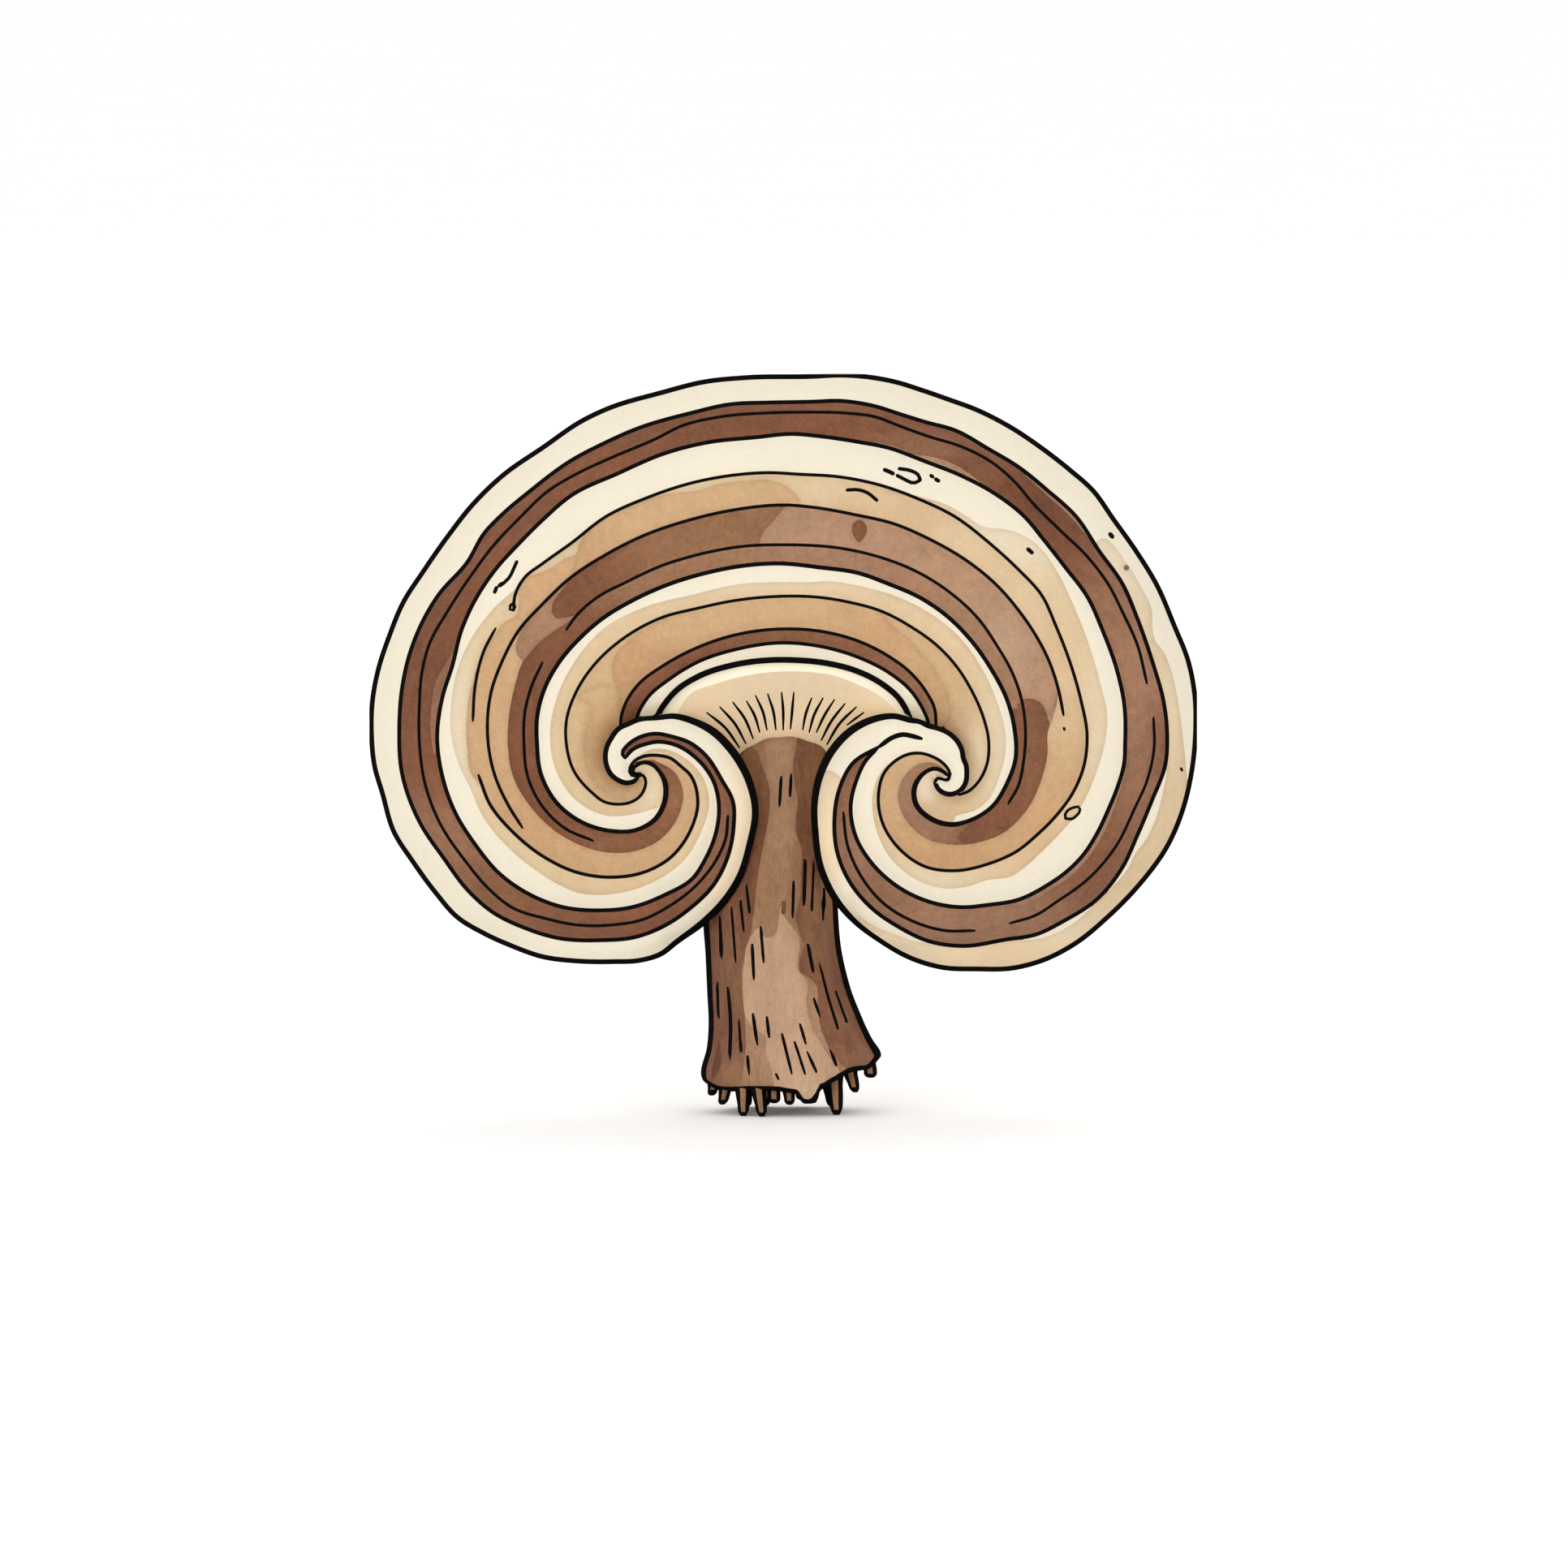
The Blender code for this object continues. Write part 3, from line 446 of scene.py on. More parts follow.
# Soft blooms of another pigment within each wash, as (x, y, radius across, radius down, pigment,
# amount). The pale ones low on the lobes' lips and beside the right whorl's hook are painted light
# that lifts the shade there.
BLOOMS = {
    "umber": [
        (1404, 850, 50, 160, "clay", 0.9), (1355, 740, 30, 60, "clay", 0.35),
        (1150, 1130, 110, 60, "clay", 0.9), (1255, 1130, 70, 50, "clay", 0.7),
        (1050, 1050, 50, 90, "clay", 0.6), (885, 1050, 50, 80, "clay", 0.35),
        (1290, 630, 80, 60, "deep", 0.85), (1120, 555, 60, 24, "clay", 0.4),
        (1265, 935, 24, 60, "brown", 0.35), (640, 1090, 120, 60, "brown", 0.3),
        (540, 800, 70, 160, "deep", 0.3), (950, 520, 160, 20, "deep", 0.3),
        (560, 1030, 70, 50, "clay", 0.5), (1436, 908, 24, 50, "umber", 0.7),
    ],
    "ring": [
        (840, 978, 24, 50, "brown", 0.6), (760, 1042, 70, 14, "brown", 0.35),
        (648, 975, 30, 50, "deep", 0.5), (800, 716, 66, 50, "brown", 1.0),
        (782, 722, 44, 30, "clay", 0.35),
    ],
    "clay": [
        (805, 712, 60, 40, "brown", 0.9), (882, 696, 60, 40, "brown", 0.7),
        (1245, 850, 18, 40, "brown", 0.5), (1200, 1030, 50, 24, "umber", 0.75),
        (1130, 1020, 40, 30, "brown", 0.2),
    ],
    "leaf": [
        (835, 674, 70, 60, "brown", 1.0), (697, 738, 20, 26, "deep", 0.55),
        (885, 665, 40, 50, "brown", 1.0),
    ],
    "brown": [(915, 650, 40, 30, "umber", 0.15)],
    "clay_sliver": [(545, 850, 30, 80, "umber", 0.5)],
    "rose": [
        (1228, 795, 50, 50, "cream", 0.1), (1000, 645, 60, 40, "clay", 0.15),
        (1285, 860, 40, 40, "clay", 0.1),
    ],
    "inner_umber": [
        (1152, 894, 18, 34, "rose", 1.0), (1115, 840, 50, 40, "clay", 0.35),
        (1000, 786, 120, 30, "brown", 0.3),
    ],
    "rose_left": [(660, 765, 60, 50, "rose", 0.1)],
    "tan": [
        (870, 600, 130, 30, "sand", 1.0), (1010, 600, 70, 30, "sand", 1.0),
        (1110, 612, 60, 36, "sand", 0.5), (1190, 670, 80, 60, "sand", 1.0),
        (1265, 740, 60, 70, "sand", 0.95), (1310, 840, 50, 80, "sand", 0.6),
        (662, 716, 34, 40, "amber", 0.5), (650, 1010, 60, 60, "amber", 0.6),
        (700, 1060, 80, 30, "amber", 0.4), (1150, 1055, 110, 40, "amber", 0.9),
        (1280, 1010, 60, 60, "amber", 0.55),
    ],
    "stain_top": [(722, 688, 30, 30, "amber", 0.6), (880, 612, 90, 26, "honey", 0.2)],
    "sand": [
        (1240, 665, 100, 44, "cream", 0.5), (563, 900, 26, 130, "cream", 0.4),
        (1290, 1045, 50, 40, "honey", 0.7), (1150, 1090, 50, 30, "cream", 0.3),
        (1355, 880, 20, 120, "cream", 0.25), (720, 1090, 90, 24, "honey", 0.2),
    ],
    "inner_sand": [
        (1145, 1000, 40, 30, "honey", 0.8), (1145, 972, 18, 18, "cream", 0.6),
        (1228, 920, 20, 110, "cream", 0.3), (950, 722, 160, 12, "cream", 0.2),
        (800, 970, 16, 26, "cream", 0.3),
    ],
    "stain": [
        (785, 825, 50, 40, "amber", 1.0), (788, 822, 60, 44, "brown", 0.16),
        (1095, 782, 60, 44, "amber", 0.7), (1150, 838, 40, 44, "amber", 0.6),
        (960, 752, 120, 14, "honey", 0.25), (1185, 890, 30, 40, "honey", 0.5),
    ],
    # The first two here, sand and flesh beside the right whorl's hook, are painted light that
    # lifts the shade the hook casts.
    "inner_tan": [
        (1202, 930, 22, 50, "sand", 0.9), (1200, 935, 18, 40, "flesh", 0.25),
        (704, 890, 12, 60, "sand", 0.3),
    ],
    "stain_low": [(738, 858, 30, 22, "honey", 1.0), (756, 925, 26, 50, "amber", 0.3)],
    # The blooms of pale tan and flesh in the cream are painted light that lifts the shade on the
    # left lobe's lip beside the stem, along its lower edge and on the right lobe's lower lip.
    "cream": [
        (914, 1015, 30, 100, "painted_light_tan", 0.55), (888, 1095, 34, 40, "painted_light_tan", 0.5),
        (850, 1142, 60, 30, "flesh", 0.6), (750, 1174, 110, 22, "flesh", 0.7),
        (960, 803, 200, 14, "sand", 0.12), (1080, 1135, 50, 30, "flesh", 0.7),
    ],
    # The band's blooms low on the right lobe's lip, from about y 1000 down, are painted light that
    # lifts the shade where the lip turns down towards the stem.
    "band": [
        (1378, 705, 60, 70, "cream", 0.5), (1044, 1100, 34, 50, "cream", 1.0),
        (1012, 1000, 30, 70, "cream", 0.5), (1315, 1145, 60, 30, "cream", 0.3),
        (1010, 1045, 26, 60, "painted_light_tan", 0.8), (1036, 1106, 34, 32, "flesh", 0.6),
        (1085, 1156, 46, 26, "painted_light_tan", 1.0), (1160, 1182, 90, 20, "painted_light_tan", 0.6),
        (1290, 1165, 60, 24, "painted_light_tan", 0.25), (1450, 850, 20, 80, "cream", 0.25),
        (1120, 1170, 60, 20, "cream", 0.3),
    ],
}

# The ribs on the underside, each from near the arch down towards the stem.
RIBS = [
    ((871, 878), (893, 896), (911, 921)), ((887, 871), (905, 891), (919, 916)),
    ((903, 865), (918, 886), (928, 910)), ((920, 864), (930, 882), (936, 902)),
    ((931, 857), (940, 877), (945, 899)), ((946, 855), (953, 877), (956, 899)),
    ((963, 853), (965, 876), (965, 899)), ((978, 853), (976, 876), (974, 898)),
    ((1000, 860), (993, 879), (989, 899)), ((1014, 860), (1003, 881), (997, 902)),
    ((1028, 862), (1016, 881), (1006, 902)), ((1041, 867), (1024, 889), (1012, 912)),
    ((1055, 871), (1034, 892), (1019, 917)), ((1064, 878), (1053, 886), (1044, 893)),
]
NICHE_SAND = [
    (820, 1000), (828, 900), (836, 876), (852, 854), (880, 843), (907, 835), (940, 829),
    (969, 827), (1000, 828), (1027, 832), (1054, 842), (1079, 854), (1103, 875), (1118, 900),
    (1126, 1000),
]
# Painted light: blooms of pale tan that lift the shade low in the niche, between and beside its
# ribs.
NICHE_PAINTED_LIGHT = {
    "gills": [
        (985, 905, 150, 40, "painted_light_tan", 0.85), (1100, 885, 50, 40, "painted_light_tan", 0.8),
        (850, 885, 50, 40, "painted_light_tan", 0.6),
    ],
}

# The stem's rings from its domed top to its torn hem: left edge, right edge, the forward place
# of the ring's middle, its half depth, how far it follows the hem's droop, and its place along
# the stem's outside.
STEM_RINGS = [
    ((934, 894), (1000, 894), -18, 34, 0.0, 894), ((914, 908), (1020, 908), -18, 53, 0.0, 908),
    ((906, 930), (1028, 930), -18, 62, 0.0, 930), ((899, 965), (1027, 965), -16, 65, 0.0, 965),
    ((893, 1000), (1024, 1000), -14, 66, 0.0, 1000),
    ((880, 1060), (1025, 1060), -8, 70, 0.0, 1060),
    ((871, 1125), (1028, 1116), 2, 74, 0.0, 1120.5),
    ((873.5, 1176), (1032, 1168), 12, 76, 0.0, 1172),
    ((875.5, 1224), (1043.5, 1218), 24, 78, 0.0, 1221),
    ((877, 1262), (1058.5, 1256), 34, 82, 0.05, 1259),
    ((874.5, 1292), (1069, 1278), 42, 90, 0.15, 1285),
    ((867.5, 1318), (1081, 1299), 46, 96, 0.45, 1307.5),
    ((870, 1330), (1077.5, 1307), 46, 93, 0.85, 1319),
    ((890, 1331), (1060, 1309), 46, 76, 1.0, 1340),
]
# The middles of its top and of its underside, as x, y and forward.
STEM_ENDS = [(967, 889, -18), (975, 1337, 46)]
# How far the hem hangs below the rings, by x, and the columns that keep its tongue square.
HEM_DROOP = [
    (862, 0), (888, 14), (926, 18.5), (959, 23.5), (976, 28), (981.5, 31), (986, 38), (990, 42.5),
    (1005, 43.5), (1007.5, 40.5), (1010, 31), (1012.5, 28), (1028, 20.5), (1047, 12), (1058, 10.5),
    (1067, 11), (1073, 9), (1083, 0),
]
TONGUE_COLUMNS = (978, 982, 986, 990, 1005, 1007.5, 1010, 1012.5)
# The skin is drawn laid out flat, as if it were this round, between these places along the stem.
RADIAN = 57.3
STEM_ROUND = 70.0
STEM_FLAT = STEM_ROUND / RADIAN
HALF_TURN = 180 * STEM_FLAT
STEM_TOP, STEM_END = 894.0, 1340.0
HEM_PLACE = 1319
# How far the skin stands out from the rings, and how much less below the stem's shoulder, but
# for a ridge down each flank between two turns from the front.
STEM_GROWTH = 2.5
SHOULDER, SHOULDER_REACH = 1060, 50
LESS_GROWTH = 4.6
RIDGE_TURNS = (75.5, 91)
RIDGE_SLOPE = 4
RIDGE_HEIGHT = 5.6
# Lines down each flank by their turn from the front; there is ink from the first to the last.
FLANK_LINES = (76.5, 80, 84, 88, 92.5)
FLANK_TOP = 1085
FLUTES = 11
FLUTE_DEPTH = 1.6
FIBRE_GROOVE = 1.1
GRAIN_DEPTH = 0.7
FIBRES = [
    ((885.9, 1130.7), (888.8, 1180.4)), ((900.8, 1118.3), (906, 1186.2)),
    ((912.1, 1110.6), (916, 1147.9)), ((919.4, 1091.5), (923.2, 1125)),
    ((937.2, 1142.2), (940.8, 1186.2)), ((926.5, 1164.2), (928.6, 1207.2)),
    ((978.1, 1086.7), (976.8, 1130.7)), ((992.5, 1060), (990.8, 1115.4)),
    ((1003.2, 1063), (1000.7, 1122.1)), ((1015.4, 1096.3), (1014.1, 1131.6)),
    ((995.9, 1164.2), (1002.2, 1197.7)), ((1010.3, 1188.1), (1021, 1230), (1033.2, 1268.4)),
    ((1030.9, 1224.4), (1043.2, 1258.9)), ((1003.2, 1231.1), (1010.3, 1252.2)),
    ((884, 1212), (885.3, 1254.1)), ((896.1, 1217.8), (899.3, 1255), (898.9, 1305.7)),
    ((909.8, 1257), (912.7, 1296.2)), ((927.4, 1249.9), (932.8, 1287.6)),
    ((944.7, 1253.7), (947.5, 1278.6)), ((920.5, 1301.9), (922.6, 1323.9)),
    ((963.4, 1274.2), (975.5, 1323)), ((979.1, 1284.3), (992.1, 1323.5)),
    ((995, 1296.8), (1006.1, 1321.4)), ((985.8, 1262.3), (993, 1286.6)),
    ((1023.7, 1294.8), (1030.9, 1312.8)), ((956, 1324), (959, 1330)),
    ((962.5, 957), (960.5, 993)), ((975, 954), (973.5, 981)),
]
# On the stem the dark bark down both sides is painted shade and the light bark down the middle a
# painted highlight; the small dark dash near the top is a mark.
STEM_WASHES = [
    ("dark_bark_and_shade", [
        (900, 905), (910, 928), (922, 918), (932, 926), (940, 946), (948, 970), (948, 1000),
        (943, 1030), (937, 1060), (932, 1095), (928, 1130), (923, 1160), (917, 1180), (914, 1210),
        (917, 1240), (918, 1262), (919, 1290), (917, 1312), (914, 1330), (904, 1346), (870, 1344),
        (860, 1330), (858, 1250), (860, 1100)]),
    ("dark_bark_and_shade", [
        (983, 909), (980, 925), (977, 945), (979, 965), (983, 985), (981, 1010), (982, 1030),
        (986, 1040), (987, 1075), (985, 1110), (980, 1130), (985, 1150), (990, 1165), (986, 1180),
        (986, 1198), (996, 1204), (1004, 1212), (1008, 1235), (1010, 1262), (1018, 1285),
        (1030, 1305), (1044, 1318), (1095, 1330), (1100, 1250), (1060, 1100), (1060, 930)]),
    ("bark_highlight", [
        (962, 1116), (960, 1128), (959, 1140), (957, 1149), (951, 1155), (944, 1156), (938, 1150),
        (934, 1143), (929, 1149), (923, 1158), (918, 1176),
        (916, 1200), (915, 1225), (918, 1250), (926, 1265), (943, 1278), (944, 1298),
        (950, 1316), (957, 1345), (1010, 1366), (1036, 1324), (1024, 1306), (1010, 1284),
        (998, 1262), (994, 1235), (992, 1205), (986, 1200), (985, 1165), (984, 1155),
        (978, 1146), (971, 1136), (965, 1128)]),
    ("dark_bark_and_shade", [
        (963.5, 1110), (967.5, 1110), (968, 1118), (966.5, 1127), (963.3, 1127), (962.8, 1118)]),
    ("deep", [
        (885, 1280), (888, 1294), (888, 1308), (885, 1320), (879, 1329), (877, 1322), (881, 1308),
        (882, 1294)]),
]
# Blooms of light bark spread the painted highlight; blooms of bark in the dark sides are painted
# light that lifts the shade under the hood and beside the lobes; the sand at the tongue's foot
# lifts the shade under it. The deep spot low on the right is a smudge.
STEM_BLOOMS = {
    "bark": [
        (962, 1010, 30, 60, "bark_highlight", 0.35), (960, 932, 24, 28, "bark_highlight", 0.5),
        (940, 1240, 40, 90, "bark_highlight", 0.35), (1010, 1270, 30, 60, "bark_highlight", 0.45),
        (940, 1312, 30, 34, "bark_highlight", 0.3),
    ],
    "dark_bark_and_shade": [
        (1014, 1105, 26, 46, "bark", 0.75), (925, 935, 40, 70, "bark", 0.55),
        (1000, 940, 36, 70, "bark", 0.45), (900, 1180, 26, 90, "bark", 0.45),
        (1052, 1304, 34, 18, "bark", 0.45), (1034, 1262, 24, 34, "bark", 0.3),
        (1046, 1290, 8, 12, "deep", 0.6), (905, 1326, 34, 30, "bark", 0.8),
        (1000, 1180, 24, 60, "bark", 0.35), (1030, 1150, 30, 60, "bark", 0.15),
        (902, 1280, 20, 20, "bark", 0.15),
    ],
    "deep": [(884, 1300, 30, 60, "dark_bark_and_shade", 0.35)],
    "bark_highlight": [(997, 1348, 30, 18, "sand", 0.5)],
}
# The rootlets as (root, tip, half width at the root, at the tip); the last five stand behind.
ROOTLETS = [
    ((880, 1326, 46), (877, 1351, 50), 8, 5.6), ((896, 1330, 76), (890, 1362, 78), 9.5, 5.8),
    ((915, 1330, 106), (916, GROUND_Y, 114), 10.5, 6.2),
    ((933, 1330, 114), (939, GROUND_Y, 122), 11, 6),
    ((953, 1332, 112), (954, 1360, 116), 8.5, 7.5), ((971, 1334, 108), (973, 1362, 112), 9, 6),
    ((996, 1330, 104), (997, 1352, 108), 10, 8), ((1027, 1318, 86), (1031, GROUND_Y, 94), 12.5, 7),
    ((1045, 1312, 66), (1054, 1347, 70), 11, 5.5), ((1070, 1301, 46), (1073, 1329, 48), 9, 8),
    ((916, 1330, -20), (919, GROUND_Y, -30), 10, 7.5),
    ((944, 1330, -30), (941, GROUND_Y, -38), 10, 7.5),
    ((1018, 1320, -24), (1027, GROUND_Y, -26), 10, 7.5),
    ((986, 1330, -32), (988, 1357, -38), 9, 7), ((1046, 1312, 6), (1052, 1342, 2), 8, 5.5),
]
ROOT_SIDES = 24
ROUNDED_FROM = 0.8
# Each has three bare stripes, this far to either side of these turns, down to its dark tip.
BARE_TURNS = (270, 30, 150)
BARE_HALF = 16
DARK_TIP = 8

# The lights as (name, place, size, power), and the camera that takes in the whole drawing.
LIGHTS = [
    ("key", (-0.45, -1.1, 0.42), 0.7, 3.4),
    ("fill", (0.8, -1.0, 0.25), 0.9, 0.9),
    ("back", (0.2, 0.9, 0.7), 0.8, 2.0),
]
LENS, SENSOR_WIDTH = 1000.0, 36.0
PICTURE_WIDTH = 1932
PICTURE_MIDDLE = (966.0, 966.0, 60.0)
# The angle past which an edge is sharp, and the height of an even triangle of side 1.
CREASE_ANGLE = 50
TRIANGLE_HEIGHT = 0.866


def linear(code):
    """The linear colour of a six-figure screen colour."""
    parts = [int(code[k : k + 2], 16) / 255 for k in (0, 2, 4)]
    return tuple(c / 12.92 if c <= 0.04045 else ((c + 0.055) / 1.055) ** 2.4 for c in parts)


def pigment(name, code, description):
    return bpy.props.FloatVectorProperty(
        name=name, description=description, subtype="COLOR", size=3, min=0.0, max=1.0,
        default=linear(code),
    )


class FungusColours(bpy.types.PropertyGroup):
    # Partly painted light: the underside's pale flesh is its own colour laid lighter than the
    # cream to lift the shade in the niche, and blooms of it on the lobes' lips are painted light.
    flesh: pigment("Flesh", "F3EAD4", "Palest part of the underside, below the arch")
    gills: pigment("Ribbed flesh", "D4BE9D", "Sandy part of the underside, between its ribs")
    cream: pigment("Cream", "DFD5C0", "Pale zones and the growing edge")
    # Painted light: a pale tan laid low on the lobes' lips and deep in the niche, to lift the
    # shade that falls there.
    painted_light_tan: pigment("Pale tan", "F4DBB6", "Palest tan, low on the lobes' lips")
    sand: pigment("Sand", "CDB490", "Light tan beside the pale zones")
    honey: pigment("Honey", "C09F78", "Light part of the inner tan zone")
    tan: pigment("Tan", "BE9A73", "Tan zones")
    amber: pigment("Amber", "B88F67", "Warm stains in the tan zones")
    rose: pigment("Rose brown", "A47F63", "Palest, pinkish part of the brown zone")
    clay: pigment("Clay brown", "977157", "Light parts of the brown zones")
    brown: pigment("Brown", "8B6346", "Middle brown stains")
    umber: pigment("Umber", "774C35", "Dark brown zones")
    deep: pigment("Deep umber", "68402A", "Darkest stains of the brown zones")
    ink: pigment("Ink", "060505", "Lines between the zones")
    pore: pigment("Pore surface", "D5C7AA", "Pale pore surface at the back")
    # The dark bark is painted shade down the stem's sides, and also a small dark dash; the light
    # bark is a painted highlight down its middle.
    bark: pigment("Bark", "916B4E", "Middle of the stem")
    dark_bark_and_shade: pigment("Dark bark", "6E4530", "Sides of the stem")
    bark_highlight: pigment("Light bark", "B18E72", "Pale patch low on the stem")


class FungusSizes(bpy.types.PropertyGroup):
    furrow: bpy.props.FloatProperty(
        name="Furrow depth", description="How deep the furrows between the zones are",
        default=0.00018, min=0.0, max=0.001, unit="LENGTH", precision=5)
    crown: bpy.props.FloatProperty(
        name="Zone crown", description="How far each zone rises between its furrows",
        default=0.00022, min=0.0, max=0.001, unit="LENGTH", precision=5)
    face_spacing: bpy.props.FloatProperty(
        name="Face spacing", description="Distance between points on the cap's face",
        default=5.5 * UNIT, min=3 * UNIT, max=20 * UNIT, unit="LENGTH", precision=5)
    pore_size: bpy.props.FloatProperty(
        name="Pore size", description="Width of a pore on the cap's back",
        default=0.0004, min=0.0001, max=0.002, unit="LENGTH", precision=5)


def place(x, y, forward):
    """The points in metres of places in the front view, kept within the solids' box."""
    up = GROUND_Y - y + forward * LEAN_BACK
    points = np.stack([(x - CENTRE_X), (CENTRE_FORWARD - forward), up], axis=-1) * UNIT
    return np.clip(points, CAD_BOX[0], CAD_BOX[1])


def ease(value):
    """0 below 0, 1 above 1 and a smooth rise between."""
    value = np.clip(value, 0.0, 1.0)
    return value * value * (3 - 2 * value)


def hermite(t, ends, slopes, width):
    """Values on a smooth curve between two ends with given slopes, at shares of the way."""
    rise = (2 * t**3 - 3 * t**2 + 1) * ends[0] + (3 * t**2 - 2 * t**3) * ends[1]
    bend = (t**3 - 2 * t**2 + t) * slopes[0] + (t**3 - t**2) * slopes[1]
    return rise + bend * width


def curve_value(table, at):
    """The values at some places of a smooth curve through points in rising order."""
    places, values = np.array(table, float).T
    last = len(places) - 1
    index = np.arange(last + 1)
    after, before = np.minimum(index + 1, last), np.maximum(index - 1, 0)
    slope = (values[after] - values[before]) / (places[after] - places[before])
    at = np.clip(at, places[0], places[-1])
    low = np.clip(np.searchsorted(places, at, side="right") - 1, 0, last - 1)
    width = places[low + 1] - places[low]
    ends, slopes = (values[low], values[low + 1]), (slope[low], slope[low + 1])
    return hermite((at - places[low]) / width, ends, slopes, width)


def distance_along(rows):
    """How far along a line each of its rows lies."""
    return np.concatenate([[0.0], np.cumsum(np.hypot(*np.diff(rows[:, :2], axis=0).T))])


def index_near(rows, spot):
    """The number of the row nearest a spot."""
    return int(np.argmin(np.hypot(*(rows - spot).T)))


def smooth_line(points, step=5.0, width=0.0):
    """Rows of x, y and half width along a smooth line through the given points."""
    rows = np.array([(p[0], p[1], p[2] if len(p) > 2 else width) for p in points], float)
    along = distance_along(rows)
    slope = np.gradient(rows, along, axis=0)
    at = np.linspace(0, along[-1], int(along[-1] / step) + 2)
    low = np.clip(np.searchsorted(along, at, side="right") - 1, 0, len(along) - 2)
    span = (along[low + 1] - along[low])[:, None]
    ends, slopes = (rows[low], rows[low + 1]), (slope[low], slope[low + 1])
    return hermite((at[:, None] - along[low][:, None]) / span, ends, slopes, span)


def sample(lines, step=1.0):
    """Closely spaced rows along several lines."""
    return np.concatenate([smooth_line(rows, step) for rows in lines])


def normals(rows):
    """Unit normals along a line, to the right of its direction on the page."""
    along = np.gradient(rows[:, :2], axis=0)
    along /= np.maximum(np.hypot(*along.T), 1e-9)[:, None]
    return np.stack([-along[:, 1], along[:, 0]], axis=1)


def stroke_outline(rows):
    """The closed outline of an inked stroke with round ends."""
    centre, width, normal = rows[:, :2], rows[:, 2:3], normals(rows)
    caps = []
    for end, turn in ((-1, 1), (0, -1)):
        across = normal[end] * turn
        ahead = np.array([across[1], -across[0]])
        radius = width[end, 0]
        caps.append([
            centre[end] + radius * (across * math.cos(a) + ahead * math.sin(a))
            for a in (math.radians(45), math.radians(90), math.radians(135))
        ])
    right, left = centre + normal * width, centre - normal * width
    return np.concatenate([right, caps[0], left[::-1], caps[1]])


def inside(polygon, points):
    """Which points lie in a closed polygon, by counting crossings."""
    found = np.zeros(len(points), bool)
    low, high = polygon.min(axis=0), polygon.max(axis=0)
    near = np.flatnonzero(((points >= low) & (points <= high)).all(axis=1))
    x, y = points[near].T
    odd = np.zeros(len(near), bool)
    for (x0, y0), (x1, y1) in zip(polygon, np.roll(polygon, -1, axis=0)):
        if y0 != y1:
            crossed = (y0 > y) != (y1 > y)
            odd ^= crossed & (x < (x1 - x0) * (y - y0) / (y1 - y0) + x0)
    found[near] = odd
    return found


def nearest(rows, points):
    """The distance from each point to the nearest row, and that row's number."""
    tree = KDTree(len(rows))
    for number, row in enumerate(rows):
        tree.insert((row[0], row[1], 0.0), number)
    tree.balance()
    found = [tree.find((x, y, 0.0))[1:] for x, y in points]
    return np.array([f[1] for f in found]), np.array([f[0] for f in found])


def under_ink(samples, middles):
    """Which triangles take the ink of the sampled strokes."""
    away, number = nearest(samples, middles)
    return away < samples[number, 2] + INK_EDGE


def taper(rows, length=7.0, least=0.6):
    """The same stroke thinned towards its two ends."""
    along = distance_along(rows)
    share = np.minimum(along, along[-1] - along) / length
    rows = rows.copy()
    rows[:, 2] *= np.clip(least + (1 - least) * share, 0, 1)
    return rows


def grid_points(outline, spacing):
    """A close-packed grid of points within an outline."""
    low, high = outline.min(axis=0), outline.max(axis=0)
    down = spacing * TRIANGLE_HEIGHT
    points = []
    for number in range(int((high[1] - low[1]) / down) + 1):
        shift = spacing / 2 * (number % 2)
        x = np.arange(low[0] + shift, high[0], spacing)
        points.append(np.stack([x, np.full(len(x), low[1] + number * down)], axis=1))
    points = np.concatenate(points)
    return points[inside(outline, points)]


def triangulate(loops, lines, outline, spacing, clearance=0.55):
    """Triangles over an outline that follow every loop and line. Gives points and triangles."""
    points, edges = [], []
    for closed, group in ((True, loops), (False, lines)):
        for line in group:
            first = sum(len(p) for p in points)
            count = len(line)
            points.append(line[:, :2])
            edges += [(first + k, first + k + 1) for k in range(count - 1)]
            edges += [(first + count - 1, first)] if closed else []
    fixed = np.concatenate(points)
    grid = grid_points(outline, spacing)
    far = nearest(fixed, grid)[0] > clearance * spacing
    every = np.concatenate([fixed, grid[far]])
    found = delaunay_2d_cdt([Vector(p) for p in every.tolist()], edges, [], 0, 1e-4)
    corners = np.array([tuple(v) for v in found[0]])
    faces = np.array([f for f in found[2] if len(f) == 3])
    middles = corners[faces].mean(axis=1)
    return corners, faces[inside(outline, middles)]


def edge_users(faces):
    """The triangles at every edge, as (triangle's number, first corner, second corner)."""
    users = {}
    for number, face in enumerate(faces.tolist()):
        for a, b in zip(face, face[1:] + face[:1]):
            users.setdefault((min(a, b), max(a, b)), []).append((number, a, b))
    return users


def upright_angle(x, eye_x):
    """The angle along the fan above its lobes: 45 at its middle and 90 above a whorl's eye."""
    return 45 + 45 * (x - MIDDLE_X) / (eye_x - MIDDLE_X)


